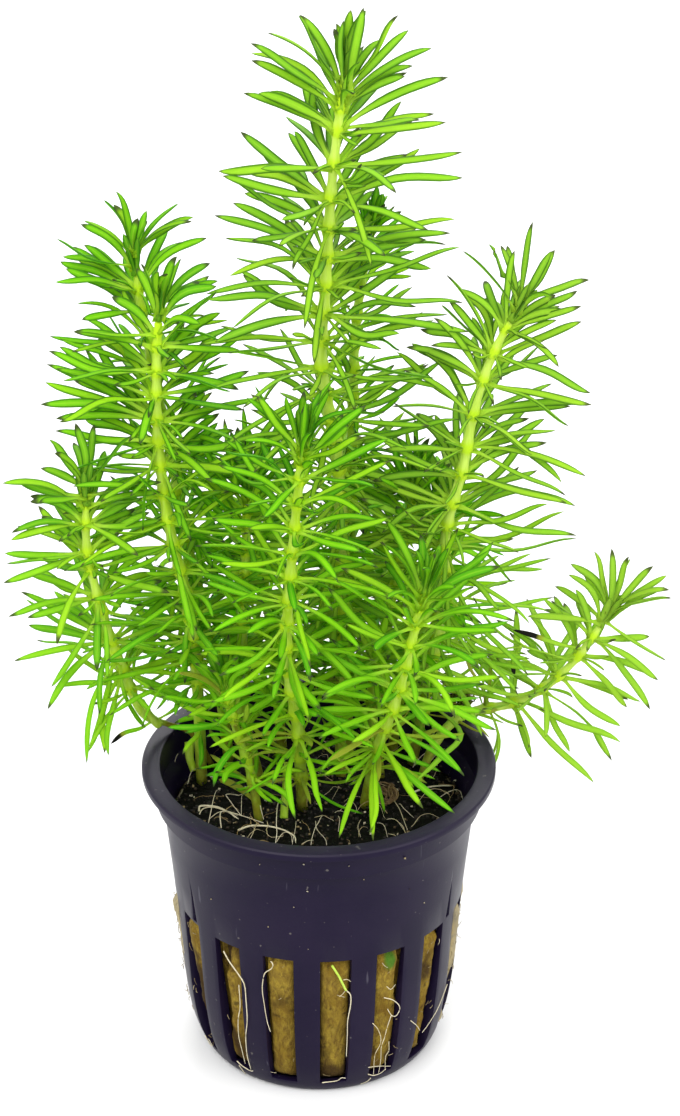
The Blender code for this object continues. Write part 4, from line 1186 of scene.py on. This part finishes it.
def whorl_places(route, seen, bare):
    """Distances of the whorls from the wool, youngest first: those seen in the photo, then by rule."""
    places = [route.distance_at(height) for height, _leaves in seen]
    distance = places[-1] - INTERNODE if places else route.length - BUD_DEPTH - 0.3
    while distance > bare:
        places.append(distance)
        closer = math.exp(-((len(places) - 1) / CLOSE_RANKS) ** 2)
        distance -= INTERNODE - (INTERNODE - TOP_INTERNODE) * closer
    return places


def leaf_length(full, rank):
    return full * (1 - YOUNG_SHORTER * math.exp(-rank / SHORTER_RANKS))


def leaf_rise(rank, sag):
    """Degrees that a leaf points above square to the stem: steep at the tip, hanging lower down."""
    return TIP_RISE * math.exp(-rank / RISE_RANKS) + FULL_RISE - sag * (1 - math.exp(-rank / SAG_RANKS))


def blade_width(share):
    """A strap, drawn thin above its flared foot and bluntly pointed."""
    body = LEAF_NECK + LEAF_SWELL * smooth(share, 0.08, 0.50) + FOOT_WIDENS * np.exp(-share / FOOT_REACH)
    tip = (1 - np.clip((share - TIP_FROM) / (1 - TIP_FROM), 0, 1) ** 2.2) ** 0.75
    return body * tip


def leaf_middle(root, out, up, length, rise, arch, sway=0.0, wave=0.0):
    """Points down the middle of a leaf.

    It starts steeper than it ends by its arch, and bends up and down by its wave, both in degrees.
    """
    share = leaf_shares()
    slope = np.radians(rise + arch * (0.5 - share) + wave * np.sin(2 * math.pi * share))
    drift = sway * share
    outward = np.cos(drift)[:, None] * out + np.sin(drift)[:, None] * np.cross(up, out)
    ways = np.cos(slope)[:, None] * outward + np.sin(slope)[:, None] * up
    gaps = np.diff(share)[:, None] * length * 0.5 * (ways[1:] + ways[:-1])
    return root + np.concatenate([np.zeros((1, 3)), np.cumsum(gaps, axis=0)])


def leaf_shares(segments=LEAF_SEGMENTS):
    """Shares of a leaf's length, closer together towards the tip."""
    return 1 - (1 - np.linspace(0, 1, segments + 1)) ** TIP_CROWDING


def leaf_facing(chance, out):
    """The way a blade's upper face looks: up and to the front, and more upward in front leaves."""
    facing = np.array((chance.gauss(0, 0.4), -0.62 + chance.gauss(0, 0.4), 0.75))
    return unit(facing + 0.8 * max(0.0, -out[1]) * UP)


def add_leaf(build, chance, middle, width, facing, youth, dry=0.0):
    """A thin, slightly folded and twisted blade along its middle points."""
    share = leaf_shares(len(middle) - 1)
    ways = unit(np.gradient(middle, axis=0))
    face = unit(facing - (ways @ facing)[:, None] * ways + 1e-4 * UP)
    across = np.cross(face, ways)
    roll = math.radians(chance.uniform(-ROLL, ROLL)) * share
    wide = np.cos(roll)[:, None] * across + np.sin(roll)[:, None] * face
    proud = np.cos(roll)[:, None] * face - np.sin(roll)[:, None] * across
    half = 0.5 * width * blade_width(share)
    half[-1] = 0.03
    thick = LEAF_THICKNESS * (0.5 + 0.5 * blade_width(share) + FOOT_THICKENS * np.exp(-share / FOOT_REACH))
    fold = chance.uniform(*FOLD)
    lift = fold * half[:, None] * np.abs(SECTION_ACROSS) + thick[:, None] * SECTION_SIDE
    lift[-1] = 0.01 * SECTION_SIDE
    rings = (middle[:, None] + (half[:, None] * SECTION_ACROSS)[:, :, None] * wide[:, None]
             + lift[:, :, None] * proud[:, None])
    length = np.linalg.norm(np.diff(middle, axis=0), axis=1).sum()
    edge = half[:, None] * (1 - np.abs(SECTION_ACROSS))
    across_share = np.broadcast_to(SECTION_ACROSS, edge.shape)
    tip = (1 - share) * length + chance.uniform(-0.3, 0.9)
    build.add_rings(rings, LEAF_SLOT, along=share, across=across_share, edge=edge, tip=tip,
                    tint=chance.random(), youth=youth, dry=dry)


def add_hand_leaf(build, chance, points, width, dry):
    """A leaf through given points. Past a dryness of 1 it's wilted black from the middle on."""
    route = Route(points)
    share = leaf_shares(HAND_SEGMENTS)
    out = unit((route.samples[-1] - route.samples[0]) * (1, 1, 0.01))
    worn = np.clip(dry * smooth(share, 0.55, 0.9), 0, 1) if dry > 1 else dry
    middle = route.at(share * route.length)
    add_leaf(build, chance, middle, HAND_WIDTH * width, leaf_facing(chance, out), 0.0, worn)


def hits_pot(points, margin):
    """True where a leaf's points come inside or too near the pot's lip, its wall or the wool."""
    radius = np.hypot(points[:, 0], points[:, 1])
    height = points[:, 2]
    lip = ((radius > COLLAR_INNER_RADIUS - margin) & (radius < LIP_RADIUS + margin)
           & (height < POT_HEIGHT + margin) & (height > LIP_BOTTOM - margin))
    wall_out = np.where(height > COLLAR_BOTTOM, COLLAR_RADIUS, along_profile(WALL_OUTSIDE, height))
    wall_in = np.where(height > COLLAR_BOTTOM, COLLAR_INNER_RADIUS, along_profile(WALL_INSIDE, height))
    wall = (radius > wall_in - margin) & (radius < wall_out + margin) & (height < POT_HEIGHT)
    wool = (radius < COLLAR_INNER_RADIUS) & (height < WOOL_TOP + 0.3 + margin)
    return bool(np.any((lip | wall | wool)[2:]))


def fits(middle, margin):
    """True where a leaf stays clear of the pot and inside the CAD part's box."""
    low, high = np.array(CAD_BOX[0]) / MM + margin, np.array(CAD_BOX[1]) / MM - margin
    return not hits_pot(middle, margin) and bool(np.all((middle > low) & (middle < high)))


def place_leaf(build, chance, root, out, up, length, width, rise, arch, youth, dry=0.0):
    """Add the leaf, turned up in steps or shortened until it fits."""
    sway = math.radians(chance.gauss(0, SWAY))
    wave = chance.gauss(0, WAVE)
    for shorter in SHORTENINGS:
        for lift in LIFTS:
            middle = leaf_middle(root, out, up, shorter * length, rise + lift, arch, sway, wave)
            if fits(middle, LEAF_CLEARANCE):
                add_leaf(build, chance, middle, width, leaf_facing(chance, out), youth, dry)
                return


def add_stem(build, route, whorls, runner):
    """A ribbed stem that swells at its nodes and thins into the bud. It's thin and old along a runner."""
    length = route.length - BUD_DEPTH
    count = int(length / STEM_STEP)
    distances = np.linspace(0, length + 0.01, count)
    here, along, side, across = route.frame(distances)
    here[0] -= STEM_SUNK * along[0]
    nodes = np.zeros(count)
    for distance in whorls:
        above = distances - distance
        nodes = np.maximum(nodes, np.exp(-(above / np.where(above > 0, SWELL_ABOVE, SWELL_BELOW)) ** 2))
    below = length - distances
    taper = (0.6 + 0.28 * smooth(below, 0.0, 5.0) + 0.15 * smooth(below, 5.0, 25.0)
             + 0.25 * smooth(below, 15.0, 65.0))
    on_runner = smooth(distances, runner, runner - 8)
    radius = (STEM_RADIUS + NODE_SWELL * nodes) * taper * (1 - RUNNER_THINNER * on_runner)
    radius[-1] *= 0.4
    ribs = 1 + 0.05 * np.cos(4 * (np.arange(STEM_SIDES) * 2 * math.pi / STEM_SIDES))
    rings = circles(here, radius[:, None] * ribs, side, across, STEM_SIDES)
    foot = np.maximum(smooth(distances, OLD_FOOT, 0.0), 1.1 * on_runner)
    build.add_rings(rings, STEM_SLOT, node=nodes, foot=foot)


def build_shoot(name):
    """A shoot's stem, whorls, bud, listed leaves and stubs, as one piece."""
    points, full, sag, bare = SHOOTS[name]
    seen = WHORLS.get(name, [])
    chance = random.Random("shoot " + name)
    route = Route(points)
    build = Build()
    crowd = SPARSE.get(name, WHORL_LEAVES)
    places = whorl_places(route, seen, bare)
    add_stem(build, route, places, RUNNERS.get(name, 0.0))
    wide = LEAF_WIDTHS.get(name, 1.0)
    for rank, distance in enumerate(places):
        youth = math.exp(-rank / YOUTH_RANKS)
        if rank < len(seen):
            spaced = rank > 0 and places[rank - 1] - distance > CROWDED
            leaves = seen[rank][1]
            add_seen_whorl(build, chance, route, distance, leaves, youth, crowd if spaced else 0, wide)
        else:
            add_whorl(build, chance, route, distance, rank, full, sag, youth, wide)
        node = route.at(distance)
        if rank >= HANGING_FROM and node[2] > HANGING_HEIGHT and chance.random() < HANGING_SHARE:
            add_hanging_leaf(build, chance, node, full, wide)
    add_bud(build, chance, route)
    for width, dry, line in HAND_LEAVES.get(name, ()):
        add_hand_leaf(build, chance, line, width, dry)
    for radius, foot, line in STUBS.get(name, ()):
        add_stub(build, line, radius, foot)
    build.values["pale"] = [np.full(build.count, PALENESS.get(name, 0.0))]
    settle(build.finish(name + "_shoot", "stem", "leaf"), "leaf_green", "shoot_" + name)


def level(degrees):
    """The level direction at an angle in degrees from the right towards the back."""
    turn = math.radians(degrees)
    return np.array((math.cos(turn), math.sin(turn), 0.0))


def add_seen_whorl(build, chance, route, distance, leaves, youth, crowd, wide):
    """A whorl that shows in the photo, its leaves set by turn, rise and length.

    Leaves that the photo hides fill it up at the back to a crowd, and short ones point to the front.
    """
    here = route.at(distance)
    first = leaves[0][2]
    hidden = [(90 + chance.choice((-1, 1)) * chance.uniform(*HIDDEN_TURNS),
               chance.uniform(*HIDDEN_RISES), chance.uniform(*HIDDEN_LENGTHS) * first)
              for _leaf in range(max(0, crowd - len(leaves)))]
    for turn, rise, length in leaves + hidden:
        out = level(turn + chance.uniform(-7, 7))
        root = here + LEAF_ROOT * out + chance.uniform(-NODE_SPREAD, NODE_SPREAD) * UP
        arch = chance.uniform(25, 50) if rise > 20 and youth > 0.1 else chance.uniform(-22, 30)
        width = wide * (chance.uniform(1.3, 1.55) + 0.1 * youth)
        place_leaf(build, chance, root, out, UP, length, width, rise + chance.uniform(-3, 3), arch, youth)
    for _ray in range(FRONT_RAYS if crowd else 0):
        out = level(-90 + chance.choice((-1, 1)) * chance.uniform(*RAY_TURNS))
        length = chance.uniform(*RAY_LENGTHS) * first
        width = RAY_WIDTH * wide * chance.uniform(1.0, 1.4)
        place_leaf(build, chance, here + LEAF_ROOT * out, out, UP, length, width,
                   chance.uniform(*RAY_RISES), chance.uniform(-20, 30), youth)


def add_whorl(build, chance, route, distance, rank, full, sag, youth, wide):
    """A whorl by rule: more leaves, longer and lower ones the farther it is from the bud."""
    here, along, side, across = route.frame(distance)
    low = float(smooth(here[2], *LOW_WHORLS))
    count = 5 + rank if rank < 3 else int(0.66 * full + chance.uniform(0, 2))
    phase = chance.uniform(0, 2 * math.pi)
    for leaf in range(count):
        turn = phase + 2 * math.pi * (leaf + chance.uniform(-0.2, 0.2)) / count
        out = math.cos(turn) * side + math.sin(turn) * across
        front = float(smooth(-out[1], 0.6, 1.0)) * (1 - youth)
        length = leaf_length(full, rank) * chance.uniform(0.86, 1.08) * (1 - 0.25 * low) * (1 - 0.3 * front)
        rise = leaf_rise(rank, sag) + chance.uniform(-16, 16) + 12 * low + 14 * front
        if chance.random() < 0.12 * (1 - youth):
            rise -= 40
        old = 1 if chance.random() < 0.35 * low else 0
        root = here + LEAF_ROOT * out + chance.uniform(-NODE_SPREAD, NODE_SPREAD) * along
        width = wide * (chance.uniform(0.85, 1.2) + 0.25 * youth - 0.32 * low)
        arch = chance.uniform(-35, 60) + 20 * youth
        place_leaf(build, chance, root, out, along, length, width, rise, arch, youth,
                   chance.uniform(0.2, 0.5) * old)


def add_hanging_leaf(build, chance, node, full, wide):
    """An older leaf that hangs in front of the stem below its whorl."""
    out = level(chance.uniform(-135, -45))
    place_leaf(build, chance, node + LEAF_ROOT * out, out, UP, full * chance.uniform(0.6, 0.95),
               wide * chance.uniform(0.9, 1.2), chance.uniform(-72, -45), chance.uniform(0, 50), 0.0)


def add_stub(build, line, radius, foot):
    """A short stem of the same plant beside the shoot, such as the foot of an older one."""
    share, points = Route(line).walk(24)
    tube(build, points, radius * (1 - STUB_TAPER * share), 8, STEM_SLOT, node=0.2 * (1 - share), foot=foot)


def add_bud(build, chance, route):
    """Small dark upright leaves that close over the tip of the stem."""
    here, along, side, across = route.frame(route.length - BUD_DEPTH)
    start = chance.uniform(0, 2 * math.pi)
    for leaf in range(BUD_LEAVES):
        turn = start + BUD_TURN * leaf
        out = math.cos(turn) * side + math.sin(turn) * across
        length = BUD_LEAF * (1.0 - 0.08 * leaf)
        middle = leaf_middle(here + 0.25 * out, out, along, length, 86 - 3.0 * leaf, 10)
        add_leaf(build, chance, middle, chance.uniform(0.9, 1.3), leaf_facing(chance, out), BUD_YOUTH)


# Roots, fibres, crumbs and moss

def build_roots():
    """The CAD's thick roots as smooth tapering tubes."""
    for name, places in THICK_ROOTS.items():
        share, points = Route([(x, y, ROOT_HEIGHT) for x, y in places]).walk(40)
        radii = THICK_ROOT * (1 - 0.45 * share) * (1 - 0.7 * smooth(share, 0.93, 1.0))
        build = Build()
        tube(build, points, radii, 8, along=share, tint=0.1)
        settle(build.finish(name + "_fine", "root"), "pale_root", name)


def wall_route(places, proud):
    """A route over the pot's wall through (angle, height) places, proud of it by a distance."""
    return Route([around(along_profile(WALL_OUTSIDE, height) + proud, angle, height)
                  for angle, height in places])


def build_hair_roots():
    """Thin roots that lie on the wool, run down its sides and hang out at the slots."""
    chance = random.Random("hair roots")
    build = Build()
    for radius, tint, arch, places in SOIL_ROOTS:
        share, points = Route([(x, y, 0) for x, y in places]).walk(26)
        points[:, 2] = ROOT_HEIGHT + arch * np.sin(math.pi * share)
        tube(build, points, SOIL_THINNING * radius * (1 - 0.5 * share), 6, along=share, tint=tint)
    for radius, tint, places in WALL_ROOTS:
        share, points = wall_route(places, radius + 0.1).walk(34)
        tube(build, points, WALL_THINNING * radius * (1 - 0.4 * share), 6, along=share, tint=tint)
    for _root in range(STRAY_ROOTS):
        radius = TOP_EDGE * math.sqrt(chance.random()) * 0.94
        start = around(radius, chance.uniform(0, 360), ROOT_HEIGHT - 0.2)
        add_wander(build, chance, start, chance.uniform(2.5, 8), chance.uniform(0.04, 0.08),
                   chance.uniform(0.3, 1.0))
    for _loop in range(ROOT_BALL_LOOPS):
        add_loop(build, chance)
    settle(build.finish("hair_roots", "root"), "pale_root")


def add_wander(build, chance, start, length, radius, tint):
    """A thin root that wanders over the wool from a start."""
    turn = chance.uniform(0, 2 * math.pi)
    lift = chance.uniform(0.1, 1.6)
    points = [start]
    for _step in range(STRAY_STEPS):
        turn += chance.gauss(0, 0.35)
        ahead = points[-1] + length / STRAY_STEPS * np.array((math.cos(turn), math.sin(turn), 0))
        if np.hypot(ahead[0], ahead[1]) > TOP_EDGE - 0.4:
            turn += math.pi * 0.7
            ahead = points[-1]
        points.append(ahead + 1e-4)
    points = np.array(points)
    share = np.linspace(0, 1, STRAY_STEPS + 1)
    points[:, 2] = start[2] + lift * np.sin(math.pi * share)
    tube(build, points, radius * (1 - 0.5 * share), 5, along=share, tint=tint)


def add_loop(build, chance):
    """One turn of the brown ball of dead roots at the right of the front."""
    axis = unit(np.array((chance.gauss(0, 0.5), chance.gauss(-0.6, 0.4), chance.gauss(0.7, 0.3))))
    side = unit(np.cross(axis, (1.0, 0.2, 0)))
    across = np.cross(axis, side)
    size = ROOT_BALL_RADIUS * chance.uniform(0.45, 1.0)
    middle = np.array(ROOT_BALL) + np.array((chance.gauss(0, 0.5), chance.gauss(0, 0.5), 0))
    turns = np.linspace(0, chance.uniform(2.5, 5.5), 22) + chance.uniform(0, 6)
    points = middle + size * (np.cos(turns)[:, None] * side + np.sin(turns)[:, None] * across)
    points[:, 2] = np.maximum(points[:, 2], ROOT_HEIGHT)
    tube(build, points, chance.uniform(0.08, 0.14), 5, along=0.2, tint=chance.uniform(0.92, 1.0))


def build_sprout():
    """A thin green sprout that comes out at the top of a front slot."""
    build = Build()
    share, points = wall_route(SPROUT, SPROUT_PROUD).walk(20)
    tube(build, points, SPROUT_RADIUS, 8, node=0.3 * (1 - share), foot=0.35, pale=1.0)
    settle(build.finish("sprout", "stem"), "leaf_green")


def build_fibres():
    """Short wool fibres that stand out at the slots, most of them at the two sides."""
    chance = random.Random("wool fibres")
    build = Build()
    for _fibre in range(FIBRES):
        slot = chance.randrange(SLOT_COUNT)
        angle = SLOT_PHASE + slot * SLOT_STEP + SLOT_HALF_ANGLE * chance.uniform(-0.9, 0.9)
        side = abs(math.sin(math.radians(angle)))
        if chance.random() > 0.1 + 0.9 * side ** 4:
            continue
        height = chance.uniform(SLOT_BOTTOM + 0.8, SLOT_TOP - 0.8)
        radius = float(along_profile(WALL_OUTSIDE, height)) - 0.2 + 0.4 * side ** 6
        start = around(radius, angle, height)
        out = unit(start * (1, 1, 0))
        round_pot = np.cross(UP, out)
        way = unit(0.5 * out + chance.gauss(0, 0.7) * round_pot + chance.gauss(-0.3, 0.8) * UP)
        length = chance.uniform(0.5, 1.3)
        share = np.linspace(0, 1, FIBRE_POINTS)[:, None]
        curl = chance.uniform(-0.5, 0.5) * length * share ** 2 * round_pot - 0.35 * length * share ** 2 * out
        points = start + length * share * way + curl
        if np.max(np.hypot(points[:, 0], points[:, 1])) > WIDEST_WOOL + 0.9:
            continue
        tube(build, points, np.linspace(0.06, 0.03, FIBRE_POINTS), 4, tint=chance.uniform(0.45, 0.8))
    settle(build.finish("wool_fibres", "crumb"), "mineral_wool")


def add_crumb(build, chance, place, size, tint):
    """A small irregular lump."""
    points = np.array([(x, y, z) for x in (-1, 1) for y in (-1, 1) for z in (-1, 1)], float)
    points = unit(points) * np.array([[chance.uniform(0.6, 1.2)] for _point in range(8)])
    stretch = np.array((chance.uniform(0.6, 1.3), chance.uniform(0.6, 1.3), chance.uniform(0.4, 0.8)))
    faces = [(0, 1, 3, 2), (4, 6, 7, 5), (0, 4, 5, 1), (2, 3, 7, 6), (0, 2, 6, 4), (1, 5, 7, 3)]
    build.add(place + 0.5 * size * stretch * points, faces, tint=tint)


def build_crumbs():
    """Peat crumbs over the wool, and specks of dust and husk on the pot."""
    chance = random.Random("crumbs")
    build = Build()
    for _crumb in range(CRUMBS):
        radius = (TOP_EDGE - 0.3) * math.sqrt(chance.random())
        place = around(radius, chance.uniform(0, 360), WOOL_TOP - 0.1 + chance.uniform(0, 0.5))
        tint = chance.random() ** 7
        add_crumb(build, chance, place, chance.uniform(0.2, 0.9), tint)
    for angle, height, size, tint in SPECKS:
        radius = COLLAR_RADIUS if height > COLLAR_BOTTOM else along_profile(WALL_OUTSIDE, height)
        add_crumb(build, chance, around(radius + 0.05, angle, height), size, tint)
    settle(build.finish("crumbs", "crumb"), "mineral_wool")


def build_moss():
    """Thin strands that wander inside an oval, kept off the pot's lip."""
    chance = random.Random("moss strands")
    build = Build()
    centre = np.array(MOSS_CENTRE)
    size = np.array(MOSS_SIZE)
    for _strand in range(MOSS_STRANDS):
        start = centre + size * 0.75 * np.array([chance.uniform(-1, 1) for _axis in range(3)])
        way = np.array([chance.gauss(0, 1) for _axis in range(3)])
        points = [start]
        for _step in range(STRAND_STEPS):
            way = unit(way + np.array([chance.gauss(0, 0.6) for _axis in range(3)]))
            ahead = points[-1] + STRAND_STEP * way
            offset = (ahead - centre) / size
            if np.linalg.norm(offset) > 1:
                way = -way
                ahead = centre + size * offset / np.linalg.norm(offset)
            ahead[2] = max(ahead[2], POT_HEIGHT + 0.3)
            points.append(ahead)
        tube(build, points, np.linspace(0.16, 0.05, len(points)), 4, tint=chance.random())
    settle(build.finish("moss_strands", "moss"), "moss_green", "moss_clump")


# Stage

def build_stage():
    """The white floor, the photo's camera, four soft lights and a white world."""
    mesh = bpy.data.meshes.new("floor")
    corners = [(-1, -1), (1, -1), (1, 1), (-1, 1)]
    mesh.from_pydata([(x * FLOOR_REACH, y * FLOOR_REACH, 0) for x, y in corners], [], [(0, 1, 2, 3)])
    floor = add_object("floor", mesh)
    mesh.materials.append(floor_material())

    camera = add_object("camera", bpy.data.cameras.new("camera"))
    camera.data.sensor_width = SENSOR
    camera.data.lens = FOCAL_PIXELS / PHOTO_HEIGHT * SENSOR
    camera.data.shift_x = (PHOTO_WIDTH / 2 - POT_AXIS_PIXEL) / PHOTO_HEIGHT
    camera.data.clip_start = 0.01
    camera.location = [part * MM for part in CAMERA_PLACE]
    camera.rotation_euler = (math.radians(90 - CAMERA_PITCH), 0, 0)
    bpy.context.scene.camera = camera

    for name, (place, size, watts) in LIGHTS.items():
        light = add_object(name, bpy.data.lights.new(name, "AREA"))
        light.data.size = size
        light.data.energy = watts
        light.location = place
        light.rotation_euler = (Vector(LIT_POINT) - Vector(place)).to_track_quat("-Z", "Y").to_euler()

    world = bpy.data.worlds.new("studio")
    bpy.context.scene.world = world
    world.use_nodes = True
    background = world.node_tree.nodes["Background"]
    background.inputs["Color"].default_value = (1, 1, 1, 1)
    background.inputs["Strength"].default_value = WORLD_STRENGTH
    bpy.context.scene.view_settings.view_transform = "Standard"


MATERIALS = {
    "plastic": plastic_material(),
    "wool": wool_material(),
    "leaf": leaf_material(),
    "stem": stem_material(),
    "root": root_material(),
    "moss": moss_material(),
    "crumb": crumb_material(),
}
build_stage()
build_net_pot()
build_wool()
for shoot in SHOOTS:
    build_shoot(shoot)
build_roots()
build_hair_roots()
build_sprout()
build_fibres()
build_crumbs()
build_moss()
